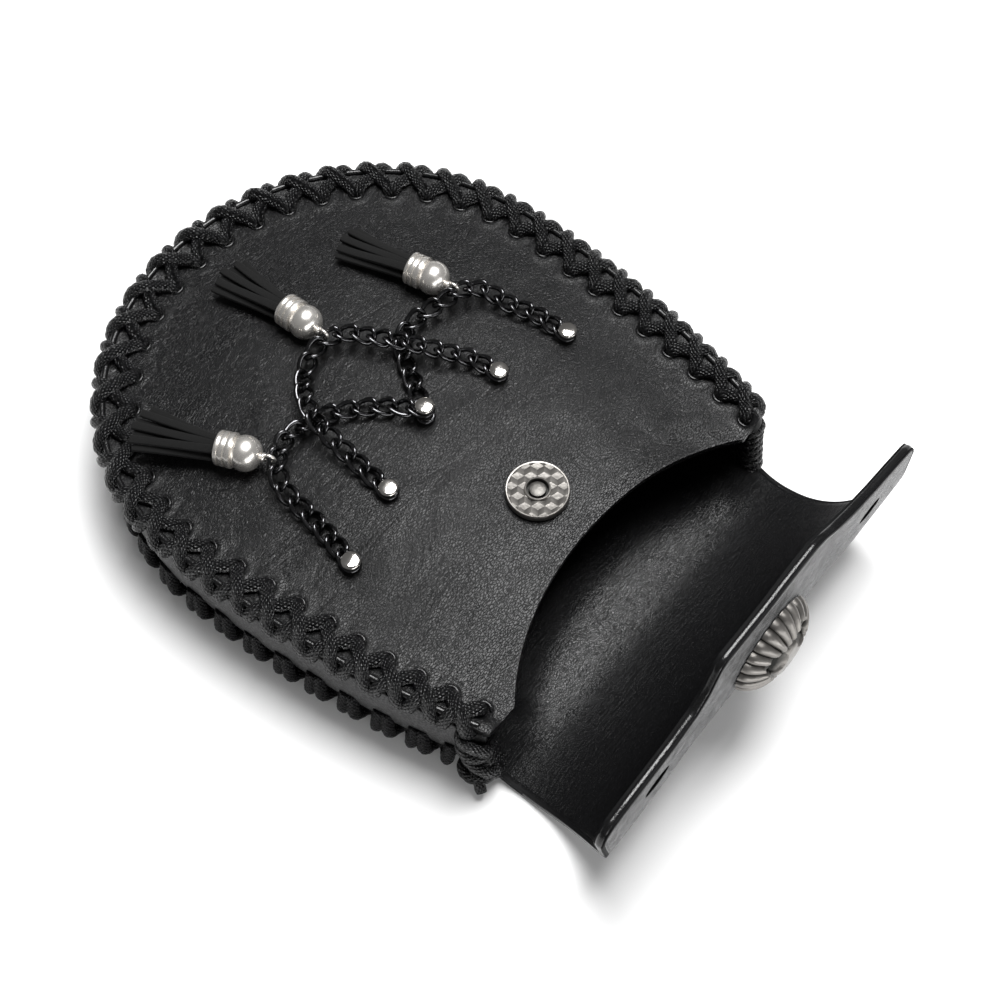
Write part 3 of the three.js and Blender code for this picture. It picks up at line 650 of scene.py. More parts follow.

# %% [markdown]
# The gusset is a long band of leather that stands between the two panels. It is a grid wrapped along the
# outline. The lacing of the front draws it in at each hole, so its top is gently scalloped, and its middle
# swells a little.

# %% Gusset
GAP = 0.3
GUSSET_TOP = DEPTH - FRONT_WALL - GAP
GUSSET_FOOT = BACK_RAISE + BACK_WALL + GAP
GUSSET_START = 1.0
GUSSET_SWELL = 1.3
GUSSET_UNEVEN = 0.25
GUSSET_PULL = 0.25
GUSSET_FADE = 8.0
SIDE_ROUND = 0.45
gusset, along_share, height_share = leather_grid("gusset_band", columns=430, rows=14)
along = GUSSET_START + (along_share + 1) / 2 * (OUTLINE - 2 * GUSSET_START)
z = GUSSET_FOOT + (height_share + 1) / 2 * (GUSSET_TOP - GUSSET_FOOT)
swell = GUSSET_SWELL * (1 - height_share**2) + GUSSET_UNEVEN * unevenness(along, z, 16, 2.2)
hole_count = np.interp(along, FRONT_HOLES, np.arange(len(FRONT_HOLES)))
front_pull = -np.cos(2 * math.pi * hole_count)
swell += GUSSET_PULL * front_pull * smoothstep(height_share, 0, 1)
fade = smoothstep(along, GUSSET_START, GUSSET_FADE)
fade *= smoothstep(OUTLINE - along, GUSSET_START, GUSSET_FADE)
x, y = edge_point(along, -swell * fade)
move_vertices(gusset, on_pouch(x, y, z))
set_uv(gusset, along * MM, z * MM)
apply_modifier(gusset, "SOLIDIFY", thickness=SIDE_WALL * MM, offset=1)
round_edges(gusset, SIDE_ROUND, 2)
shade_smooth(gusset)
seat(gusset, "black_leather", gusset_leather, "gusset")

# %% [markdown]
# Back and flap are one piece of leather. The back lies on the table, its laced border held up by the cord
# below it. At the mouth the leather goes on, turns up in a round bend and stands as the flap, which widens
# to two round corners and ends in a middle tab. Two narrow slots are cut through it near the corners.

# %% Back and flap
RAISE_EDGE = 11.5
RAISE_END = 24.0
RAISE_FADE = 12.0
FLAP_FLAT_END = 43.0
FLAP_BEND = 29.0
FLAP_TURN = math.radians(94.6)
FLAP_WAIST = 61.0
FLAP_FLARE = 69.5
WAIST_REACHED = 14.0
FLARE_START = 18.0
FLAP_SIDE_LENGTH = 71.0
FLAP_TAB_LENGTH = 84.0
# Free edge of the flap: distance from the middle, and length from the mouth line
FLAP_EDGE = [
    (0, FLAP_TAB_LENGTH), (20, FLAP_TAB_LENGTH), (22.5, FLAP_TAB_LENGTH - 1.2), (27, FLAP_SIDE_LENGTH + 5),
    (31.5, FLAP_SIDE_LENGTH + 2), (40, FLAP_SIDE_LENGTH + 0.6), (59, FLAP_SIDE_LENGTH),
    (65, FLAP_SIDE_LENGTH - 0.7), (67.9, FLAP_SIDE_LENGTH - 2.4), (FLAP_FLARE, FLAP_SIDE_LENGTH - 6),
]
FAR_FLAP_EDGE = [
    (0, FLAP_TAB_LENGTH), (18, FLAP_TAB_LENGTH), (22, FLAP_TAB_LENGTH - 0.8), (28, FLAP_TAB_LENGTH - 3.6),
    (36, FLAP_SIDE_LENGTH + 6.4), (46, FLAP_SIDE_LENGTH + 3.4), (57, FLAP_SIDE_LENGTH + 1.2),
    (65, FLAP_SIDE_LENGTH - 0.7), (67.9, FLAP_SIDE_LENGTH - 2.4), (FLAP_FLARE, FLAP_SIDE_LENGTH - 6),
]
SLOT_X = 47.5
SLOT_ALONG = 63.0
SLOT_LONG = 9.5
SLOT_WIDE = 3.8
BACK_ROUND = 1.34
BACK_WAVE = 0.5
WAVE_SIZE = 30.0
WAVE_SEED = 6.4
WAVE_START, WAVE_FULL = 10.0, 25.0
WAVE_BORDER = (16, 30)
# Where the finishes change, from the edge, along the leather and through its thickness
CUT_EDGE = (0.8, 1.8)
CUT_FROM = 4.0
# Painted sheen of the inner face: where it rises past the mouth edge, and where it falls off along the flap
SHEEN_START = (0, 12)
SHEEN_END = (-3, 15)
OUTER_FACE = (1.0, 2.2)


def flap_profile(along):
    """y, z and the turn of the flap's inner face, so far past the mouth line."""
    flat = FLAP_FLAT_END - MOUTH_Y
    turn = np.clip((along - flat) / FLAP_BEND, 0, FLAP_TURN)
    past = np.maximum(0, along - flat - FLAP_BEND * FLAP_TURN)
    y = MOUTH_Y + np.minimum(along, flat) + FLAP_BEND * np.sin(turn) + past * np.cos(turn)
    z = BACK_WALL + FLAP_BEND * (1 - np.cos(turn)) + past * np.sin(turn)
    return y, z, turn


def flap_half_width(along):
    corner = float(half_width(np.array(MOUTH_Y)))
    waist = corner + (FLAP_WAIST - corner) * smoothstep(along, 0, WAIST_REACHED)
    return waist + (FLAP_FLARE - waist) * smoothstep(along, FLARE_START, FLAP_SIDE_LENGTH)


def border_lift(x, y):
    border = 1 - smoothstep(distance_to_edge(x, y), RAISE_EDGE, RAISE_END)
    fade = 1 - smoothstep(y, MOUTH_Y - RAISE_FADE / 2, FLAP_FLAT_END)
    return BACK_RAISE * border * fade


def flap_tip(across):
    """Length of the flap from the mouth line, which falls off more slowly on its far side."""
    from_middle = np.abs(across) * FLAP_FLARE
    near, far = (np.interp(from_middle, *np.array(rows).T) for rows in (FLAP_EDGE, FAR_FLAP_EDGE))
    return np.where(across > 0, near, far)


def flap_wave(x, from_mouth):
    """Slow waves of the soft back, along the leather from the mouth line."""
    return BACK_WAVE * unevenness(x, from_mouth + MOUTH_Y, WAVE_SIZE, WAVE_SEED)


back_flap, across, up = leather_grid("back_and_flap", columns=140, rows=236)
lengths = np.cumsum([0, BELLY_RADIUS, chest_height, FLAP_TAB_LENGTH])
travel = (up + 1) / 2 * lengths[-1]
belly_x, belly_y = rounded_bottom(across, np.minimum(travel / BELLY_RADIUS - 1, 0))
chest_y = np.clip(BELLY_Y + travel - lengths[1], BELLY_Y, MOUTH_Y)
tip = flap_tip(across)
along = np.maximum(travel - lengths[2], 0) / FLAP_TAB_LENGTH * tip
flap_y, flap_z, flap_turn = flap_profile(along)
is_flap = travel > lengths[2]
is_belly = travel < lengths[1]
x = np.where(is_belly, belly_x, across * half_width(chest_y))
x = np.where(is_flap, across * flap_half_width(along), x)
y = np.where(is_belly, belly_y, chest_y)
lift = border_lift(x, np.where(is_flap, np.minimum(flap_y, FLAP_FLAT_END), y))
lift = np.where(is_flap & (flap_y > FLAP_FLAT_END), 0, lift)
wave = flap_wave(x, np.where(is_flap, along, y - MOUTH_Y))
wave *= smoothstep(distance_to_edge(x, y), *WAVE_BORDER) + smoothstep(along, WAVE_START, WAVE_FULL)
z = np.where(is_flap, flap_z + lift + wave * np.cos(flap_turn), BACK_WALL + lift + np.maximum(wave, 0))
y = np.where(is_flap, flap_y - wave * np.sin(flap_turn), y)
move_vertices(back_flap, on_pouch(x, y, np.maximum(z, BACK_WALL)))
set_uv(back_flap, x * MM, np.where(is_flap, MOUTH_Y + along, y) * MM)
apply_modifier(back_flap, "SOLIDIFY", thickness=BACK_WALL * MM, offset=-1)
round_edges(back_flap, BACK_ROUND, 6)

# %% [markdown]
# The slots are cut with a Boolean, by a cylinder that is squeezed to an oval and stood across the flap. Then
# three values are stored on the vertices for the finish: cut edges, the outer face with its grey of wax bloom
# and painted reflection, and the part of the inner face with a painted sheen, which falls to painted shade
# inside the mouth and towards the free edge. Where the leather lay flat is kept in the UV map, so the
# distance to its edges is measured there.

# %% Slots and marks of the flap
def flap_matrix(x, along, outwards):
    """A frame on the flap's outer face: X across, Y up along the leather, Z outwards."""
    y, z, turn = flap_profile(np.array(along))
    out = Vector((0, math.sin(turn), -math.cos(turn)))
    side = Vector((-1, 0, 0))
    rise = out.cross(side)
    place = Vector(on_pouch(x, float(y), float(z))) + out * (BACK_WALL + outwards) * MM
    matrix = Matrix((side, rise, out)).transposed().to_4x4()
    matrix.translation = place
    return matrix


def cut_slot(x):
    bpy.ops.object.select_all(action="DESELECT")
    bpy.ops.mesh.primitive_cylinder_add(vertices=48, radius=1, depth=1)
    cutter = bpy.context.object
    size = Matrix.Diagonal((SLOT_LONG / 2 * MM, SLOT_WIDE / 2 * MM, 6 * BACK_WALL * MM, 1))
    cutter.data.transform(flap_matrix(x, SLOT_ALONG, 0) @ size)
    apply_modifier(back_flap, "BOOLEAN", operation="DIFFERENCE", object=cutter, solver="EXACT")
    bpy.data.objects.remove(cutter)


for side in (-1, 1):
    cut_slot(side * SLOT_X)
flat_x, flat_y = uv_of(back_flap).T
along = flat_y - MOUTH_Y
from_side = flap_half_width(along) - np.abs(flat_x)
from_tip = flap_tip(np.clip(flat_x / flap_half_width(along), -1, 1)) - along
cut = (along > CUT_FROM) * (1 - smoothstep(np.minimum(from_side, from_tip), *CUT_EDGE))
y, z = ((vertices_of(back_flap) - SNAP) / MM).T[1:]
bend_y, bend_z = FLAP_FLAT_END, BACK_WALL + FLAP_BEND
upright = (y - bend_y) * math.sin(FLAP_TURN) - (z - bend_z) * math.cos(FLAP_TURN)
reach = np.where(z < bend_z, np.hypot(y - bend_y, z - bend_z), upright) - FLAP_BEND
past_mouth = flat_y - mouth_edge(flat_x)
# Painted sheen near the mouth, falling to painted shade inside it and towards the free edge
painted_sheen = smoothstep(past_mouth, *SHEEN_START) * (1 - smoothstep(along, *SHEEN_END))
store_value(back_flap, "painted_sheen", painted_sheen)
store_value(back_flap, "cut", cut)
store_value(back_flap, "outer", (y > bend_y) * smoothstep(reach, *OUTER_FACE) * (1 - cut))
shade_smooth(back_flap, 50)
seat(back_flap, "black_leather", back_leather, "back_flap")

# %% [markdown]
# The lacing is a braided cord about four millimetres thick, black and waxed. A braid is two sets of strands
# that wind round the cord in opposite ways and pass over and under each other, so its surface is a field of
# small bumps. A tube is run along each stitch, and its radius follows that field. Below the pouch the cord
# lies in shade, so the same finish is made twice, once with less shine as painted shade.

# %% Braided cord
CORD_SIDES = 14
CORD_STEP = 0.55
BRAID_STRANDS = 4
BRAID_LENGTH = 2.3
BRAID_DEPTH = 0.22


def smooth_path(points, step):
    """Points about one step apart on a smooth curve through the given places."""
    points = np.asarray(points, float)
    gaps = np.linalg.norm(np.diff(points, axis=0), axis=1) ** 0.5
    knots = np.concatenate([[0], np.cumsum(gaps)])
    slopes = np.gradient(points, knots, axis=0)
    fine = np.linspace(0, knots[-1], 24 * len(points))
    span = np.clip(np.searchsorted(knots, fine, side="right") - 1, 0, len(points) - 2)
    width = (knots[span + 1] - knots[span])[:, None]
    t = (fine[:, None] - knots[span][:, None]) / width
    curve = (2 * t**3 - 3 * t**2 + 1) * points[span] + (t**3 - 2 * t**2 + t) * width * slopes[span]
    curve += (3 * t**2 - 2 * t**3) * points[span + 1] + (t**3 - t**2) * width * slopes[span + 1]
    run = np.concatenate([[0], np.cumsum(np.linalg.norm(np.diff(curve, axis=0), axis=1))])
    count = max(4, int(round(run[-1] / step)))
    places = np.linspace(0, run[-1], count + 1)
    return np.stack([np.interp(places, run, curve[:, k]) for k in range(3)], axis=1), places


def tube_frames(path):
    """Two directions across the path at each point, turned as little as possible along it."""
    tangents = np.gradient(path, axis=0)
    tangents /= np.linalg.norm(tangents, axis=1)[:, None]
    side = np.cross(tangents[0], (0, 0, 1) if abs(tangents[0][2]) < 0.9 else (1, 0, 0))
    sides = []
    for tangent in tangents:
        side = side - tangent * side.dot(tangent)
        side = side / np.linalg.norm(side)
        sides.append(side)
    sides = np.array(sides)
    return sides, np.cross(tangents, sides)


def cord_tube(points, radius, phase=0.0, braid=BRAID_DEPTH):
    """Vertices in millimetres, faces, and the turn and length at each vertex of one braided tube."""
    path, places = smooth_path(points, CORD_STEP)
    first, second = tube_frames(path)
    turn = np.arange(CORD_SIDES) / CORD_SIDES
    lean = BRAID_STRANDS * turn[None, :]
    left = lean + places[:, None] / BRAID_LENGTH + phase
    right = lean - places[:, None] / BRAID_LENGTH + phase
    weave = np.sqrt(np.abs(np.sin(math.pi * left) * np.sin(math.pi * right)))
    r = radius - braid * (1 - weave)
    angle = 2 * math.pi * turn
    ring = np.cos(angle)[None, :, None] * first[:, None, :]
    ring = ring + np.sin(angle)[None, :, None] * second[:, None, :]
    points = path[:, None, :] + r[..., None] * ring
    faces = []
    for i in range(len(path) - 1):
        for j in range(CORD_SIDES):
            k = (j + 1) % CORD_SIDES
            here, ahead = i * CORD_SIDES, (i + 1) * CORD_SIDES
            faces.append((here + j, here + k, ahead + k, ahead + j))
    faces.append(tuple(range(CORD_SIDES))[::-1])
    faces.append(tuple(range((len(path) - 1) * CORD_SIDES, len(path) * CORD_SIDES)))
    u = np.broadcast_to(turn[None, :] * 2 * math.pi * radius, r.shape)
    v = np.broadcast_to(places[:, None], r.shape)
    return points.reshape(-1, 3), faces, u.ravel(), v.ravel()


def cord_piece(name, tubes):
    """One piece from many tubes."""
    points, faces, us, vs, count = [], [], [], [], 0
    for tube_points, tube_faces, u, v in tubes:
        points.append(tube_points)
        faces += [tuple(count + corner for corner in face) for face in tube_faces]
        us.append(u)
        vs.append(v)
        count += len(tube_points)
    places = np.concatenate(points)
    piece = mesh_piece(name, on_pouch(places[:, 0], places[:, 1], places[:, 2]), faces)
    set_uv(piece, np.concatenate(us) * MM, np.concatenate(vs) * MM)
    shade_smooth(piece)
    return piece


print("braid:", BRAID_STRANDS, "strands each way,", BRAID_LENGTH, "mm long")

# %% [markdown]
# The tube gives the large bumps of the braid, and its finish the fine ones: the same two sets of strands as
# a height on the UV map of the cord, with fibres along them and wax that fills some of the gaps.

# %% Cord finish
CORD_BLACK = (0.005, 0.005, 0.0055)
# Radians of the strands' waves for each metre round and along the cord
BRAID_ROUND = 2500.0
BRAID_ALONG = 2000.0
BRAID_SHARE = 1.5
FIBRE_SCALE = (2600, 700, 1)
WAX_PER_M = 900.0
WAX_SHARE = 0.6


def braid_height(tree, place):
    """Two sets of strands that wind round the cord in opposite ways."""
    parts = add_node(tree, "ShaderNodeSeparateXYZ")
    wire(tree, place, parts.inputs[0])
    round_cord = math_node(tree, "MULTIPLY", parts.outputs["X"], BRAID_ROUND)
    along_cord = math_node(tree, "MULTIPLY", parts.outputs["Y"], BRAID_ALONG)
    left = math_node(tree, "SINE", math_node(tree, "ADD", round_cord, along_cord))
    right = math_node(tree, "SINE", math_node(tree, "SUBTRACT", round_cord, along_cord))
    return math_node(tree, "SQRT", math_node(tree, "ABSOLUTE", math_node(tree, "MULTIPLY", left, right)))


def make_waxed_cord(name, shine):
    material, shader = plain_material(name, CORD_BLACK, 0.4)
    shader.inputs["Specular IOR Level"].default_value = shine
    tree = material.node_tree
    place = uv_place(tree)
    fibres = noise_node(tree, stretched(tree, place, FIBRE_SCALE), 1.0, 3.0, 0.6)
    wax = noise_node(tree, object_place(tree), WAX_PER_M, 2.0, 0.6)
    rough_wax = math_node(tree, "MULTIPLY", math_node(tree, "ADD", fibres, wax), WAX_SHARE)
    strands = math_node(tree, "MULTIPLY", braid_height(tree, place), BRAID_SHARE)
    height = math_node(tree, "ADD", rough_wax, strands)
    wire(tree, bump(tree, height, 0.0004, 0.9), shader.inputs["Normal"])
    wire(tree, map_range(tree, wax, 0.42, 0.62, 0.38, 0.12), shader.inputs["Roughness"])
    return material


waxed_cord = make_waxed_cord("waxed_cord", 0.4)
# The second copy shines less: painted shade for the cord in the shadow under the pouch.
shaded_cord = make_waxed_cord("shaded_cord", 0.12)
print("cord finishes:", waxed_cord.name, shaded_cord.name)

# %% [markdown]
# Each stitch crosses the edge: one cord goes from a hole in the front to the next hole along in the gusset,
# and its partner goes the other way, so the two cross on the edge midway between the holes. Both edges are
# laced alike. A stitch is given as rows of three numbers: how far along from one hole towards the next, how
# far in from the edge, and how high above it. On the back edge the height is counted downwards.

# %% Lacing
CORD_RADIUS = 2.0
STITCH_WANDER = 0.35
STITCH_SWELL = 0.12
# One stitch: share of the way to the next hole, inset from the edge, height above the edge
OVER_ROWS = [
    (0.93, 7.6, -1.4), (0.92, 7.5, 0.8), (0.84, 6.3, 1.8), (0.67, 4.7, 2.7), (0.50, 3.2, 4.0),
    (0.37, 1.5, 3.9), (0.27, -0.1, 2.4), (0.20, -0.9, 0.5), (0.14, -0.9, -0.9), (0.09, 0.5, -2.0),
]
UNDER_ROWS = [
    (0.07, 7.6, -1.4), (0.08, 7.5, 0.8), (0.16, 6.3, 1.7), (0.33, 4.7, 2.0), (0.50, 3.2, 1.7),
    (0.63, 1.5, 2.7), (0.73, -0.1, 1.9), (0.80, -0.9, 0.2), (0.86, -0.9, -1.0), (0.91, 0.5, -2.0),
]


def stitch_tubes(holes, insets, edge_height, upward, flatten, drop, bulge):
    """flatten lowers the cord over the panel, drop lengthens it along the gusset, bulge sets it out there."""
    tubes = []
    for i in range(len(holes) - 1):
        for rows in (OVER_ROWS, UNDER_ROWS):
            share, inset, rise = np.array(rows).T
            hole_inset = insets[i] + (insets[i + 1] - insets[i]) * share
            set_out = bulge * (rise < 0.6) * (inset < 2)
            inset = np.where(inset > 0, inset * hole_inset / HOLE_INSET, inset) - set_out
            rise = np.where(rise > 0, rise * flatten, rise * drop)
            wobble = noise.noise((i * 1.7, len(tubes) * 0.37, 3.1))
            along = holes[i] + (holes[i + 1] - holes[i]) * share
            x, y = edge_point(along, inset + STITCH_WANDER * wobble)
            if upward > 0:
                x, y = with_lip(x, y)
            points = np.stack([x, y, edge_height + upward * rise], axis=1)
            tubes.append(cord_tube(points, CORD_RADIUS + STITCH_SWELL * wobble, phase=0.23 * i))
    return tubes


front_tubes = stitch_tubes(FRONT_HOLES, FRONT_INSETS, DEPTH, 1, flatten=1.0, drop=1.0, bulge=0.0)
front_lacing = cord_piece("front_lacing_cord", front_tubes)
seat(front_lacing, "waxed_cord", waxed_cord, "front_lacing")
back_insets = np.full(BACK_STITCHES, HOLE_INSET)
back_tubes = stitch_tubes(BACK_HOLES, back_insets, BACK_RAISE, -1, flatten=0.3, drop=5.2, bulge=0.9)
back_lacing = cord_piece("back_lacing_cord", back_tubes)
seat(back_lacing, "waxed_cord", shaded_cord, "back_lacing")

# %% [markdown]
# The cord presses the leather up at the inner side of each hole, and the punched rim there shows as a thin
# bright line. It is a short arc of fine round edge, run along the side of the hole that the cord leaves free.
# The cut edge of the front is rounded and painted, and shows between the stitches as a glossy bar.

# %% Rims of the lacing holes
RIM_RADIUS = 2.35
RIM_EDGE = 0.42
RIM_RISE = 0.16
RIM_FALL = 0.5
RIM_ARC = np.linspace(-1.25, 1.25, 7)
EDGE_BEAD = 0.95
EDGE_INSET = 0.95
EDGE_RISE = 0.15
EDGE_START = 3.0
EDGE_POINTS = 160


def hole_rims():
    tubes = []
    for along, inset in zip(FRONT_HOLES, FRONT_INSETS):
        x, y = edge_point(along, inset)
        inner_x, inner_y = edge_point(along, inset + 1)
        ahead = math.atan2(inner_y - y, inner_x - x)
        arc_x = x + RIM_RADIUS * np.cos(ahead + RIM_ARC)
        arc_y = y + RIM_RADIUS * np.sin(ahead + RIM_ARC)
        height = DEPTH + RIM_RISE - RIM_FALL * (np.abs(RIM_ARC) / RIM_ARC[-1]) ** 4
        tubes.append(cord_tube(np.stack([arc_x, arc_y, height], axis=1), RIM_EDGE, braid=0.0))
    return tubes


def painted_edge():
    along = np.linspace(EDGE_START, OUTLINE - EDGE_START, EDGE_POINTS)
    x, y = with_lip(*edge_point(along, EDGE_INSET))
    height = np.full(EDGE_POINTS, DEPTH + EDGE_CURL + EDGE_RISE)
    return cord_tube(np.stack([x, y, height], axis=1), EDGE_BEAD, braid=0.0)


rims = cord_piece("rims_and_edge", hole_rims() + [painted_edge()])
seat(rims, "black_leather", edge_paint)

# %% [markdown]
# The edge of the flap is rounded and painted too. A Bevel on the sheet stays narrow, because its cells are
# small, so a bead as thick as the leather runs round the flap and gives the edge its full round.

# %% Painted edge of the flap
FLAP_BEAD = 1.43
FLAP_BEAD_INSET = 1.15
FLAP_BEAD_START = 11.0


def flap_outline():
    """x and length from the mouth line all round the flap's edge, from its near side to its far side."""
    across = np.linspace(1, -1, 120)
    tip = flap_tip(across)
    side = np.linspace(FLAP_BEAD_START, tip[0], 40)[:-1]
    x = np.concatenate([flap_half_width(side), across * flap_half_width(tip), -flap_half_width(side)[::-1]])
    return x, np.concatenate([side, tip, side[::-1]])


def flap_bead():
    x, along = flap_outline()
    run = np.stack([np.gradient(x), np.gradient(along)])
    run /= np.linalg.norm(run, axis=0)
    x = x - FLAP_BEAD_INSET * run[1]
    along = along + FLAP_BEAD_INSET * run[0]
    y, z, turn = flap_profile(along)
    wave = flap_wave(x, along) * smoothstep(along, WAVE_START, WAVE_FULL)
    out = BACK_WALL / 2 - wave
    places = np.stack([x, y + out * np.sin(turn), z - out * np.cos(turn)], axis=1)
    return cord_tube(places, FLAP_BEAD, braid=0.0)


flap_edge = cord_piece("flap_edge_bead", [flap_bead()])
seat(flap_edge, "black_leather", edge_paint)

# %% [markdown]
# At both ends of the mouth the cord is wound round the end of the gusset a few times and tied off. Each
# turn is a U of cord that leaves and enters the leather behind the end. At the near end one loop hangs loose
# and the cut end of the cord stands out.

# %% Corner bindings
TURN_RADIUS = 1.5
TURN_PITCH = 2.75
TURN_FOOT = 3.1
TURN_LEAN = 3.2
TURNS = 7
TURN_CLIMB = 0.6
LOOSE_RADIUS = 1.65
# One turn: along from the end of the gusset, inset from its outer face, and how far up to the next turn
TURN_ROWS = [
    (5.6, 0.9, 0.0), (5.4, 3.3, 0.0), (2.6, 3.55, 0.1), (0.2, 3.2, 0.25), (-0.7, 0.9, 0.5),
    (0.2, -1.4, 0.75), (2.6, -1.75, 0.9), (5.4, -1.5, 1.0), (5.6, 0.9, 1.0),
]
# Loose loops and the cut end at the near corner: along, inset and height
LOOSE_ROWS = [
    (6.6, 0.8, 24.6), (6.2, -2.0, 25.4), (3.2, -3.4, 25.6), (0.0, -2.6, 23.4), (-1.0, -0.6, 20.4),
    (0.6, -2.8, 18.0), (3.6, -3.6, 18.4), (6.0, -2.4, 20.0), (6.6, 0.8, 20.6),
]
LOW_ROWS = [
    (5.6, 0.6, 16.0), (4.8, -2.6, 15.6), (1.6, -4.0, 13.4), (-2.0, -3.4, 10.8), (-3.4, -0.4, 8.8),
    (-1.8, -3.4, 6.4), (2.0, -5.0, 5.4), (5.4, -3.4, 5.0), (6.0, 0.2, 4.8),
]
STUB_ROWS = [(4.0, -1.0, 7.6), (1.6, -3.6, 6.0), (-0.4, -5.6, 4.2), (-1.4, -6.8, 3.0)]


def corner_tubes(side):
    def at_corner(along, inset, height):
        x, y = edge_point(GUSSET_START + np.asarray(along), inset)
        return np.stack([side * x, y, np.broadcast_to(height, x.shape)], axis=1)

    along, inset, climb = np.array(TURN_ROWS).T
    tubes = []
    for k in range(TURNS):
        height = TURN_FOOT + TURN_PITCH * (k + climb * TURN_CLIMB)
        lean = TURN_LEAN * (1 - k / (TURNS - 1)) ** 1.5
        tubes.append(cord_tube(at_corner(along - lean, inset, height), TURN_RADIUS, phase=0.3 * k))
    if side > 0:
        for rows in (LOOSE_ROWS, LOW_ROWS, STUB_ROWS):
            tubes.append(cord_tube(at_corner(*np.array(rows).T), LOOSE_RADIUS))
    return tubes


for side, node in ((1, "corner_binding_1"), (-1, "corner_binding_2")):
    binding = cord_piece(node + "_cord", corner_tubes(side))
    seat(binding, "waxed_cord", waxed_cord, node)

# %% [markdown]
# Four metals: polished nickel on the rivets and the stud, a softer pearl nickel on the tassel caps, an
# antique finish on the snap and the boss, whose hollows were left dark when the high places were polished,
# and dark gunmetal on the chains. The antique metal reads how deep a place lies from a value that is stored
# on the vertices when the form is made.

# %% Metals
SMUDGES_PER_M = 240.0
DENTS_PER_M = 1300.0
STAINS_PER_M = 700.0
STAIN_SHARE = 0.35
STAIN_START = 0.15


def metal(name, colour, rough, dents=0.0, hollows=None, bare=1.0):
    """rough: clean and smudged places, hollows: colour of deep places, bare: below 1 under a patina."""
    material, shader = plain_material(name, colour, rough[0])
    shader.inputs["Metallic"].default_value = bare
    tree = material.node_tree
    place = object_place(tree)
    smudges = noise_node(tree, place, SMUDGES_PER_M, 3.0, 0.6)
    wire(tree, map_range(tree, smudges, 0.35, 0.7, rough[0], rough[1]), shader.inputs["Roughness"])
    if dents:
        pits = noise_node(tree, place, DENTS_PER_M, 2.0)
        wire(tree, bump(tree, pits, 0.0002, dents), shader.inputs["Normal"])
    if hollows:
        stains = math_node(tree, "MULTIPLY", noise_node(tree, place, STAINS_PER_M, 3.0, 0.65), STAIN_SHARE)
        stains = math_node(tree, "SUBTRACT", stains, STAIN_START)
        dark = math_node(tree, "ADD", stored_value(tree, "depth"), stains)
        wire(tree, mix_colour(tree, dark, (*colour, 1), (*hollows, 1)), shader.inputs["Base Color"])
    return material


polished_nickel = metal("polished_nickel", (0.82, 0.79, 0.75), (0.07, 0.16))
pearl_nickel = metal("pearl_nickel", (0.8, 0.77, 0.73), (0.22, 0.32), bare=0.85)
antique_nickel = metal("antique_nickel", (0.22, 0.209, 0.196), (0.34, 0.46), dents=0.25,
                       hollows=(0.012, 0.012, 0.011), bare=0.86)
gunmetal = metal("gunmetal", (0.08, 0.08, 0.083), (0.16, 0.27))
print("metals:", polished_nickel.name, pearl_nickel.name, antique_nickel.name, gunmetal.name)

# %% [markdown]
# Rivets, caps and snaps are turned parts. A turned part is a half profile that goes once round its axis, so
# the profile is drawn as a row of edges and the Screw modifier turns it. Rows are radius and height.

# %% Turned parts
TURNED_STEPS = 56


def face_outwards(piece):
    only(piece)
    bpy.ops.object.mode_set(mode="EDIT")
    bpy.ops.mesh.select_all(action="SELECT")
    bpy.ops.mesh.remove_doubles(threshold=1e-6)
    bpy.ops.mesh.normals_make_consistent(inside=False)
    bpy.ops.object.mode_set(mode="OBJECT")


def turned(name, profile, steps=TURNED_STEPS):
    mesh = bpy.data.meshes.new(name)
    points = [(radius * MM, 0, height * MM) for radius, height in profile]
    mesh.from_pydata(points, [(i, i + 1) for i in range(len(points) - 1)], [])
    piece = bpy.data.objects.new(name, mesh)
    bpy.context.scene.collection.objects.link(piece)
    apply_modifier(piece, "SCREW", axis="Z", steps=steps, render_steps=steps)
    face_outwards(piece)
    shade_smooth(piece, 38)
    return piece


def copy_to(piece, name, matrix):
    """A copy with a mesh of its own, set in its place."""
    twin = piece.copy()
    twin.data = piece.data.copy()
    twin.name = name
    bpy.context.scene.collection.objects.link(twin)
    twin.data.transform(matrix)
    return twin


def joined(name, *parts):
    bpy.ops.object.select_all(action="DESELECT")
    for part in parts:
        part.select_set(True)
    bpy.context.view_layer.objects.active = parts[0]
    bpy.ops.object.join()
    parts[0].name = name
    return parts[0]


def on_front(x, y, above=0.0):
    return Matrix.Translation(Vector(on_pouch(x, y, float(front_top(x, y)) + above)))


print("turned parts go round in", TURNED_STEPS, "steps")

# %% [markdown]
# Five rivets hold the chain ends: a washer behind the leather, a thin neck that the end links sit on, and a
# polished domed cap. The middle rivet holds two chain ends, so its neck is longer. A rivet of each kind is
# turned once and copied to its places.

# %% Rivets
LINK_WIRE = 0.72
LINK_AT_RIVET = 1.7
LINK_SECOND_AT_RIVET = 4.8
RIVET_NECK = 0.9
RIVET_WASHER = 2.4
# Cap of a rivet: radius, and height above its underside
CAP_DOME = [
    (2.4, 0.0), (2.7, 0.12), (2.8, 0.45), (2.74, 0.8), (2.5, 1.04), (1.9, 1.18), (1.0, 1.26), (0, 1.28),
]
# Rivets: x, y and how many chain ends each one holds
RIVETS = [(48.5, -24.7, 1), (26.0, -31.2, 1), (1.2, -39.4, 2), (-22.8, -32.3, 1), (-46.6, -26.0, 1)]


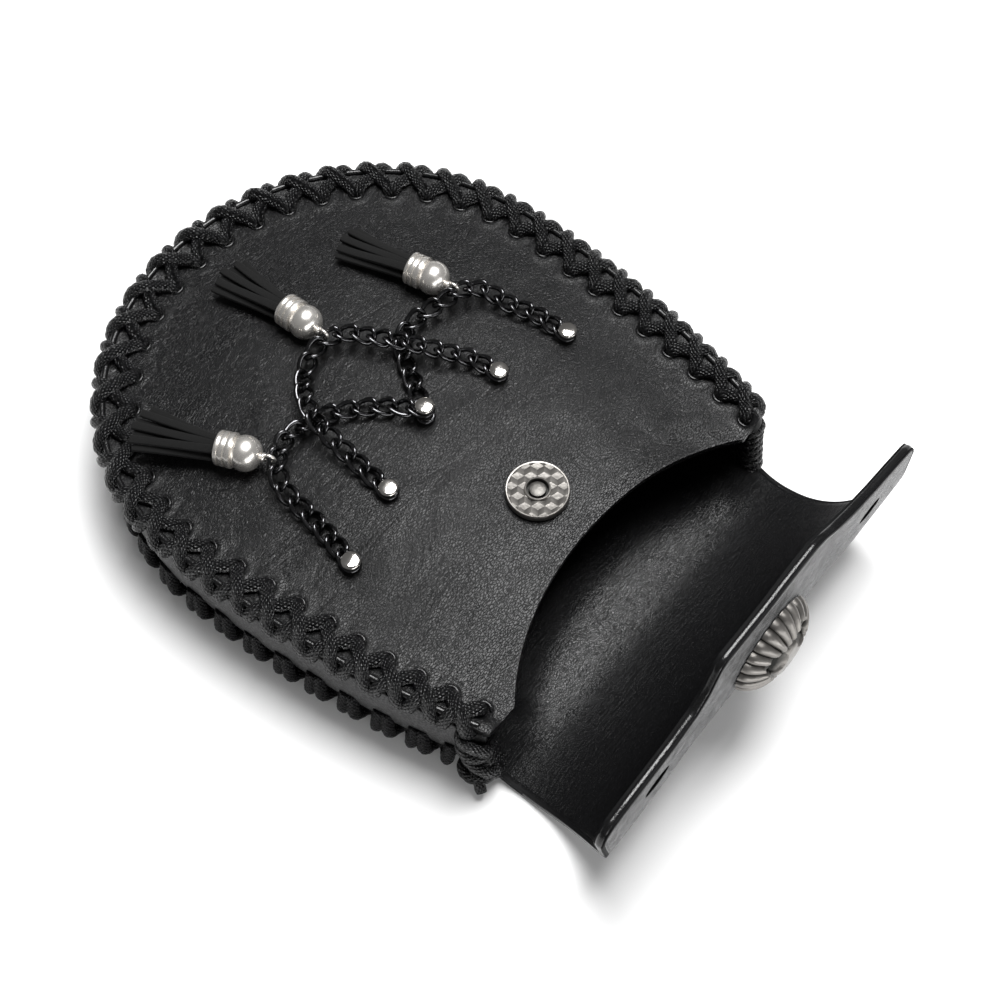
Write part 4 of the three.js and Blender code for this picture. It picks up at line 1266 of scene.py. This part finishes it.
def rivet_profile(ends):
    under = (LINK_SECOND_AT_RIVET if ends > 1 else LINK_AT_RIVET) + LINK_WIRE + 2.5 * GAP
    back_face = -FRONT_WALL - GAP
    washer = [(0, back_face - 1), (RIVET_WASHER, back_face - 1), (RIVET_WASHER, back_face)]
    neck = [(RIVET_NECK, back_face), (RIVET_NECK, under)]
    return washer + neck + [(radius, under + height) for radius, height in CAP_DOME]


rivet_kinds = {ends: turned(f"rivet_kind_{ends}", rivet_profile(ends)) for ends in (1, 2)}
for number, (x, y, ends) in enumerate(RIVETS, 1):
    rivet = copy_to(rivet_kinds[ends], f"rivet_{number}_polished", on_front(x, y))
    seat(rivet, "polished_nickel", polished_nickel, f"rivet_{number}")
for kind in rivet_kinds.values():
    bpy.data.objects.remove(kind)

# %% [markdown]
# The snap is an eighteen millimetre disc with a pressed face of leaning rhombs, the old tumbling blocks
# pattern, inside a bright rim, and a button in the middle. In that pattern every rhomb is flat and leans one
# of three ways: on a grid of triangles the points stand at three heights in turn, and two triangles that
# share a low and a high point lie in one plane. A thick plate of it is cut to a ring and joined to the
# turned body.

# %% Snap
TILE_SIDE = 2.1
TILE_STEP = 0.34
TILE_REACH = 7
TILE_FACE = 1.95
FACE_RADIUS = 8.3
FACE_HOLE = 3.4
PLATE_THICK = 1.2
BUTTON_RADIUS = 2.43
BUTTON_DARK = 0.7
GAP_INNER, GAP_OUTER = 2.4, 3.1
GAP_TOP = 2.0
RIM_TOP = 2.5
SNAP_PROFILE = [
    (0, -3.3), (6, -3.3), (6, -2.3), (2.2, -2.3), (2.2, 0.3), (8.6, 0.3), (8.95, 0.55), (9.0, 1.6),
    (8.95, 2.1), (8.7, 2.45), (8.4, 2.4), (8.2, 2.1), (8.15, 1.75), (3.7, 1.75), (3.7, 2.6), (3.6, 2.9),
    (3.35, 3.0), (3.15, 2.9), (3.08, 2.6), (3.05, 1.2), (2.45, 1.2), (2.42, 2.3), (2.3, 2.55), (1.8, 2.7),
    (1.0, 2.78), (0, 2.8),
]
LATTICE_TURN = math.radians(VIEW_TURN + 30)


def lattice_side(turn):
    return np.array([math.cos(turn), math.sin(turn)]) * TILE_SIDE


def tumbling_blocks():
    first_side = lattice_side(LATTICE_TURN)
    second_side = lattice_side(LATTICE_TURN + math.pi / 3)
    span = 2 * TILE_REACH + 1
    points, faces = [], []
    for i in range(-TILE_REACH, TILE_REACH + 1):
        for j in range(-TILE_REACH, TILE_REACH + 1):
            x, y = i * first_side + j * second_side
            points.append((x * MM, y * MM, ((i - j) % 3) * TILE_STEP * MM))
    for i in range(span - 1):
        for j in range(span - 1):
            here, ahead = i * span + j, (i + 1) * span + j
            faces += [(here, ahead, here + 1), (ahead, ahead + 1, here + 1)]
    plate = mesh_piece("tumbling_blocks", points, faces)
    apply_modifier(plate, "SOLIDIFY", thickness=PLATE_THICK * MM, offset=-1)
    for operation, radius in (("INTERSECT", FACE_RADIUS), ("DIFFERENCE", FACE_HOLE)):
        bpy.ops.object.select_all(action="DESELECT")
        bpy.ops.mesh.primitive_cylinder_add(vertices=96, radius=radius * MM, depth=6 * MM)
        cutter = bpy.context.object
        apply_modifier(plate, "BOOLEAN", operation=operation, object=cutter, solver="EXACT")
        bpy.data.objects.remove(cutter)
    plate.data.transform(Matrix.Translation((0, 0, TILE_FACE * MM)))
    return plate


snap_body = turned("snap_body", SNAP_PROFILE, 96)
snap_face = tumbling_blocks()
face_outwards(snap_face)
snap = joined("snap_disc", snap_body, snap_face)
face_x, face_y, face_height = vertices_of(snap).T / MM
face_radius = np.hypot(face_x, face_y)
in_gap = (face_radius > GAP_INNER) & (face_radius < GAP_OUTER) & (face_height < GAP_TOP)
in_tiles = np.clip(0.55 - 0.75 * (face_height - TILE_FACE), 0, 0.6) * (face_radius < FACE_RADIUS + 0.05)
snap_depth = np.where(face_height > RIM_TOP, 0.0, np.clip(in_tiles + in_gap, 0, 1))
on_button = (face_radius < BUTTON_RADIUS) & (face_height > GAP_TOP)
store_value(snap, "depth", np.where(on_button, BUTTON_DARK, snap_depth))
snap.data.transform(on_front(0, 0))
seat(snap, "antique_nickel", antique_nickel, "snap_plate")

# %% [markdown]
# A cast boss is riveted to the middle of the flap's outer face. Only its rounded, fluted side shows in the
# photograph, so it is a plain oval dome with flutes that run in from the rim to a smooth middle. It is made
# on rings round its centre: each flute is a round rib, and the grooves between them keep the dark finish.
# Behind it, on the inner face, sits the stud that meets the snap when the flap is closed.

# %% Boss and stud
BOSS_ALONG = 61.5
BOSS_HALF_LONG = 15.0
BOSS_HALF_HIGH = 12.0
BOSS_HEIGHT = 7.0
BOSS_FLUTES = 24
BOSS_RINGS = 40
BOSS_STEPS = 288
# Flutes: how round they are, where they start and are full from the middle to the rim, how deep they cut
FLUTE_ROUND = 0.7
FLUTE_START, FLUTE_FULL = 0.42, 0.62
FLUTE_INWARD = 0.07
FLUTE_DEPTH = 1.1
# A ring round the smooth middle, and a hollow on each side of it
RING_AT, RING_WIDTH, RING_DEPTH = 0.47, 0.05, 0.8
HOLLOW_X, HOLLOW_Y, HOLLOW_DEPTH = 5.6, 3.6, 1.76
HOLLOW_HALF_X, HOLLOW_HALF_Y = 3.6, 3.0
STUD_PROFILE = [
    (0, 0), (5.3, 0), (5.5, 0.2), (5.5, 1.1), (5.2, 1.4), (2.9, 1.65), (2.4, 1.9), (2.2, 2.4), (2.35, 3.1),
    (2.2, 3.55), (1.7, 3.78), (0, 3.8),
]


def boss_form():
    rings = np.linspace(1, 0.02, BOSS_RINGS)
    turns = np.arange(BOSS_STEPS) / BOSS_STEPS * 2 * math.pi
    share, turn = np.meshgrid(rings, turns, indexing="ij")
    rib = np.abs(np.cos(BOSS_FLUTES / 2 * turn)) ** FLUTE_ROUND
    groove = (1 - rib) * smoothstep(share, FLUTE_START, FLUTE_FULL)
    inward = share * (1 - FLUTE_INWARD * groove)
    x = BOSS_HALF_LONG * np.cos(turn) * inward
    y = BOSS_HALF_HIGH * np.sin(turn) * inward
    z = BOSS_HEIGHT * (1 - share**2.4) ** 0.6 - FLUTE_DEPTH * groove * (1 - share**8)
    ring = np.exp(-(((share - RING_AT) / RING_WIDTH) ** 2))
    from_hollow_x = (np.abs(x) - HOLLOW_X) / HOLLOW_HALF_X
    from_hollow_y = (y - HOLLOW_Y) / HOLLOW_HALF_Y
    hollow = np.maximum(0, 1 - from_hollow_x**2 - from_hollow_y**2)
    z = np.maximum(z - RING_DEPTH * ring - HOLLOW_DEPTH * np.sqrt(hollow), 0)
    depth = np.clip(0.85 * groove**1.5 + 0.7 * ring + np.sqrt(hollow), 0, 1)
    return x, y, z, depth


x, y, z, depth = boss_form()
points = np.stack([x, y, z], axis=-1).reshape(-1, 3) * MM
faces = []
for i in range(BOSS_RINGS - 1):
    for j in range(BOSS_STEPS):
        k = (j + 1) % BOSS_STEPS
        here, ahead = i * BOSS_STEPS, (i + 1) * BOSS_STEPS
        faces.append((here + j, here + k, ahead + k, ahead + j))
faces.append(tuple(range((BOSS_RINGS - 1) * BOSS_STEPS, BOSS_RINGS * BOSS_STEPS)))
faces.append(tuple(range(BOSS_STEPS))[::-1])
boss = mesh_piece("fluted_boss", points, faces)
store_value(boss, "depth", depth.ravel())
face_outwards(boss)
shade_smooth(boss, 50)
boss.data.transform(flap_matrix(0, BOSS_ALONG, GAP))
seat(boss, "antique_nickel", antique_nickel, "flap_boss")

stud = turned("stud_turned", STUD_PROFILE)
stud.data.transform(flap_matrix(0, BOSS_ALONG, -BACK_WALL - GAP) @ Matrix.Rotation(math.pi, 4, "X"))
seat(stud, "polished_nickel", polished_nickel, "clasp_stud")

# %% [markdown]
# Three chains hang in swags, each from one rivet through the eye of a tassel to another rivet. They are curb
# chain: every link is an oval ring of round wire whose two ends are twisted against each other, so the links
# lie flat. One link is made as a ring with that twist, and its copies follow the route of the chain.

# %% Chain routes
LINK_PITCH = 5.25
LINK_HALF_WIDTH = 2.3
LINK_BEARING = 0.8
LINK_TWIST = math.radians(50)
LINK_REST = 2.4
LINK_CROSSING = 6.2
LINK_STEPS = 36
LINK_SIDES = 10
ROUTE_STEP = 0.2
TASSEL_AXIS = 5.4
# Tassels: place of the eye link, direction, how far the fringe fans out, and height of its tip
TASSELS = [
    (39.5, -59.8, 0.42, -0.91, 0.26, 4.8),
    (0.5, -76.3, 0.03, -1.0, 0.24, 1.8),
    (-36.3, -58.2, 0.16, -0.987, 0.2, 1.8),
]
# Legs: rivet, true where the end sits above another link there, and rows of x, y and lift to the tassel
CHAINS = {
    "chain_a": (2, [
        (4, False, [(-46, -36.5, 0), (-43.4, -46, 0.15), (-41.6, -53.6, 0.6)]),
        (2, False, [(-3.2, -46.6, 0), (-8.2, -54.4, 0), (-13, -60.2, 0), (-19.5, -63, 0),
                    (-29, -60.2, 0.65)]),
    ]),
    "chain_b": (1, [
        (3, False, [(-21.6, -40.6, 0.1), (-16.6, -49.6, 0.6), (-12.2, -57.6, 1), (-8.1, -66.4, 0.8),
                    (-3.8, -73.8, 0.75)]),
        (1, False, [(25.2, -43, 0.1), (24.4, -55, 0.8), (22.9, -62.2, 1), (19.4, -68.2, 0.8),
                    (13.4, -74.2, 0.3), (6.4, -77, 0.65)]),
    ]),
    "chain_c": (0, [
        (2, True, [(4, -44.6, 0.45), (6.8, -50, 0.05), (12.4, -56, 0), (19.4, -61, 0), (25.8, -63.2, 0.05),
                   (33, -62.8, 0.65)]),
        (0, False, [(46.4, -35, 0), (45.1, -44, 0.05), (44, -54, 0.6)]),
    ]),
}
print("chains:", {name: sum(len(leg[2]) for leg in legs) for name, (_, legs) in CHAINS.items()})

# %% [markdown]
# A leg of a chain runs from its rivet to the tassel on a smooth curve that lies on the leather and is lifted
# where it passes over another chain. The links are set along it at an even pitch, and the link in the middle
# of the chain carries the eye of the tassel.

# %% Links
def eye_place(number):
    x, y = TASSELS[number][:2]
    return np.array([x, y, float(front_top(x, y)) + TASSEL_AXIS])


def leg_route(rivet, second, rows, meet):
    x, y = RIVETS[rivet][:2]
    way = [(x, y, float(front_top(x, y)) + (LINK_SECOND_AT_RIVET if second else LINK_AT_RIVET))]
    for x, y, lift in rows:
        height = LINK_REST + (LINK_CROSSING - LINK_REST) * lift
        way.append((x, y, float(front_top(x, y)) + height))
    return smooth_path([*way, meet], ROUTE_STEP)


def leg_links(route, heading):
    """Centre, direction, pitch and the twist of both ends for every link of one leg."""
    path, places = route
    start = LINK_PITCH / 2 - RIVET_NECK - GAP
    count = round((places[-1] - start) / LINK_PITCH)
    pitch = (places[-1] - start) / count
    tangents = np.gradient(path, axis=0)
    links = []
    for i in range(count):
        at = start + i * pitch
        centre = np.array([np.interp(at, places, path[:, k]) for k in range(3)])
        run = heading * np.array([np.interp(at, places, tangents[:, k]) for k in range(3)])
        at_rivet = 0 if i == 0 else 1
        twists = (at_rivet, 1) if heading > 0 else (1, at_rivet)
        links.append((centre, run, pitch, *twists))
    return links if heading > 0 else links[::-1]


def curb_link(centre, run, pitch, twist_start, twist_end):
    half_long = (pitch + LINK_BEARING) / 2 + LINK_WIRE * 0.7
    turn = (np.arange(LINK_STEPS) / LINK_STEPS * 2 * math.pi)[:, None]
    round_wire = (np.arange(LINK_SIDES) / LINK_SIDES * 2 * math.pi)[None, :]
    radius = LINK_HALF_WIDTH + LINK_WIRE * np.cos(round_wire)
    x = radius * np.cos(turn)
    x = x + np.clip(x, -1, 1) * (half_long - LINK_HALF_WIDTH)
    y = radius * np.sin(turn)
    z = np.broadcast_to(LINK_WIRE * np.sin(round_wire), x.shape)
    share = np.clip(x / half_long, -1, 1)
    twist = LINK_TWIST * share * np.where(share < 0, twist_start, twist_end)
    y, z = y * np.cos(twist) - z * np.sin(twist), y * np.sin(twist) + z * np.cos(twist)
    run = run / np.linalg.norm(run)
    side = np.cross((0, 0, 1), run)
    side /= np.linalg.norm(side)
    rise = np.cross(run, side)
    return (centre + x[..., None] * run + y[..., None] * side + z[..., None] * rise).reshape(-1, 3)


def chain_piece(name, tassel, legs):
    meet = eye_place(tassel)
    before = leg_links(leg_route(*legs[0], meet), 1)
    after = leg_links(leg_route(*legs[1], meet), -1)
    middle = (meet, after[0][0] - before[-1][0], LINK_PITCH, 1, 1)
    points, faces = [], []
    for link in before + [middle] + after:
        first = len(points) * LINK_STEPS * LINK_SIDES
        points.append(curb_link(*link))
        for i in range(LINK_STEPS):
            for j in range(LINK_SIDES):
                here, ahead = first + i * LINK_SIDES, first + (i + 1) % LINK_STEPS * LINK_SIDES
                beside = (j + 1) % LINK_SIDES
                faces.append((here + j, ahead + j, ahead + beside, here + beside))
    places = np.concatenate(points)
    piece = mesh_piece(name + "_links", on_pouch(places[:, 0], places[:, 1], places[:, 2]), faces)
    shade_smooth(piece)
    return piece


for name, (tassel, legs) in CHAINS.items():
    seat(chain_piece(name, tassel, legs), "gunmetal", gunmetal, name)

# %% [markdown]
# Each tassel is a ball-shaped metal cap with an eye, a small bead and a collar of three rings, and a bundle
# of suede strips pressed into it. The cap is turned, with a ring of wire for the eye.

# %% Tassel caps
EYE_RADIUS = 1.6
EYE_WIRE = 0.5
EYE_CENTRE = 2.3
CAP_START = 3.9
CAP_LONG = 13.0
# Cap profile: radius, and distance from where the cap starts
CAP_PROFILE = [
    (0, -0.6), (0.9, -0.55), (1.3, -0.25), (1.4, 0.1), (1.2, 0.45), (1.0, 0.6), (1.0, 0.75), (1.5, 0.8),
    (2.4, 1.05), (3.3, 1.55), (4.1, 2.3), (4.7, 3.2), (5.05, 4.2), (5.15, 5.2), (5.05, 6.2), (4.75, 7.1),
    (4.3, 7.9), (4.0, 8.25), (4.75, 8.35), (5.05, 8.45), (5.1, 8.7), (5.1, 9.35), (5.05, 9.6), (4.6, 9.7),
    (4.55, 10.0), (4.6, 10.25), (5.0, 10.35), (5.05, 10.6), (5.05, 11.2), (5.0, 11.45), (4.6, 11.55),
    (4.55, 11.8), (4.6, 12.05), (4.95, 12.1), (5.0, 12.35), (5.0, 12.75), (4.85, 13.0), (4.2, 13.0),
    (4.0, 12.8), (3.95, 11.0), (0, 11.0),
]


def tassel_matrix(number):
    """Z along the tassel from the eye link, Y up from the leather."""
    along = Vector((*TASSELS[number][2:4], 0)).normalized()
    up = Vector((0, 0, 1))
    matrix = Matrix((up.cross(along), up, along)).transposed().to_4x4()
    matrix.translation = Vector(on_pouch(*eye_place(number)))
    return matrix


cap_form = turned("cap_form", [(radius, CAP_START + length) for radius, length in CAP_PROFILE])
bpy.ops.object.select_all(action="DESELECT")
bpy.ops.mesh.primitive_torus_add(major_radius=EYE_RADIUS * MM, minor_radius=EYE_WIRE * MM, major_segments=40,
                                 minor_segments=12)
eye = bpy.context.object
eye.data.transform(Matrix.Translation((0, 0, EYE_CENTRE * MM)) @ Matrix.Rotation(math.pi / 2, 4, "Y"))
shade_smooth(eye)
cap_form = joined("cap_form", cap_form, eye)
for number in range(3):
    cap = copy_to(cap_form, f"tassel_cap_{number + 1}_turned", tassel_matrix(number))
    seat(cap, "polished_nickel", pearl_nickel, f"tassel_cap_{number + 1}")
bpy.data.objects.remove(cap_form)

# %% [markdown]
# The strips of the fringe are cut from a flat hide, so each is a long flat bar with slightly round edges.
# There is a lower row of four and an upper row of three. Every strip leaves the cap in the bundle, turned a
# little about its own length, fans out, and droops to its own place on the leather.

# %% Tassel fringes
STRIP_WIDE = 2.35
STRIP_THICK = 1.3
STRIP_LONG = 27.0
STRIP_CUT = 16
STRIP_RINGS = 30
STRIP_SEATED = 1.9
ROW_HEIGHT = 1.35
BUNDLE_HALF = 2.4
FAN_SHARE = 0.55
# How much shorter the outer strips are, how ragged the ends, and how far a strip sways
STRIP_TRIM, STRIP_RAGGED, STRIP_SWAY = 2.0, 1.2, 0.8
UPPER_TIP, LOWER_TIP = 1.5, 0.1
NAP_PER_M = 5200.0
SUEDE_BLACK = (0.006, 0.006, 0.006)
# Strips: place across the fan, row (-1 lower, 1 upper), and turn in degrees
STRIPS = [
    (-1.0, -1, 10), (-0.36, -1, -6), (0.33, -1, 5), (1.0, -1, -12),
    (-0.68, 1, 14), (0.02, 1, -3), (0.7, 1, -16),
]


def make_suede():
    material, shader = plain_material("black_suede", SUEDE_BLACK, 0.92)
    tree = material.node_tree
    place = object_place(tree)
    nap = noise_node(tree, place, NAP_PER_M, 3.0, 0.7)
    wire(tree, bump(tree, nap, 0.0003, 0.8), shader.inputs["Normal"])
    shader.inputs["Specular IOR Level"].default_value = 0.18
    shader.inputs["Sheen Weight"].default_value = 0.04
    shader.inputs["Sheen Roughness"].default_value = 0.5
    return material


def strip_points(number, spread, row, degrees):
    fan, tip = TASSELS[number][4:]
    portion = np.linspace(0, 1, STRIP_RINGS)
    wander = noise.noise((number * 3.1, spread * 2.3, row * 1.7))
    length = STRIP_LONG - STRIP_TRIM * abs(spread) + STRIP_RAGGED * wander
    start = CAP_START + CAP_LONG - STRIP_SEATED
    along = start + length * portion
    across = spread * (BUNDLE_HALF + STRIP_LONG * fan * FAN_SHARE * portion**1.25)
    across = across + STRIP_SWAY * wander * portion**2
    tip_height = tip + STRIP_THICK / 2 - TASSEL_AXIS + (UPPER_TIP if row > 0 else LOWER_TIP)
    height = row * ROW_HEIGHT + (tip_height - row * ROW_HEIGHT) * smoothstep(portion, 0, 1)
    turn = np.arange(STRIP_CUT) / STRIP_CUT * 2 * math.pi
    cut_x = STRIP_WIDE / 2 * np.sign(np.cos(turn)) * np.abs(np.cos(turn)) ** 0.3
    cut_y = STRIP_THICK / 2 * np.sign(np.sin(turn)) * np.abs(np.sin(turn)) ** 0.4
    roll = np.radians(degrees) * (1 - 0.7 * portion)[:, None]
    x = across[:, None] + cut_x * np.cos(roll) - cut_y * np.sin(roll)
    y = height[:, None] + cut_x * np.sin(roll) + cut_y * np.cos(roll)
    z = np.broadcast_to(along[:, None], x.shape)
    return np.stack([x, y, z], axis=-1).reshape(-1, 3) * MM


def fringe_piece(number):
    points, faces = [], []
    for strip in STRIPS:
        first = len(points) * STRIP_RINGS * STRIP_CUT
        points.append(strip_points(number, *strip))
        for i in range(STRIP_RINGS - 1):
            here, ahead = first + i * STRIP_CUT, first + (i + 1) * STRIP_CUT
            for j in range(STRIP_CUT):
                beside = (j + 1) % STRIP_CUT
                faces.append((here + j, here + beside, ahead + beside, ahead + j))
        faces.append(tuple(range(first, first + STRIP_CUT))[::-1])
        faces.append(tuple(range(first + (STRIP_RINGS - 1) * STRIP_CUT, first + STRIP_RINGS * STRIP_CUT)))
    piece = mesh_piece(f"tassel_fringe_{number + 1}_strips", np.concatenate(points), faces)
    piece.data.transform(tassel_matrix(number))
    face_outwards(piece)
    shade_smooth(piece, 35)
    return piece


black_suede = make_suede()
for number in range(3):
    seat(fringe_piece(number), "black_suede", black_suede, f"tassel_fringe_{number + 1}")
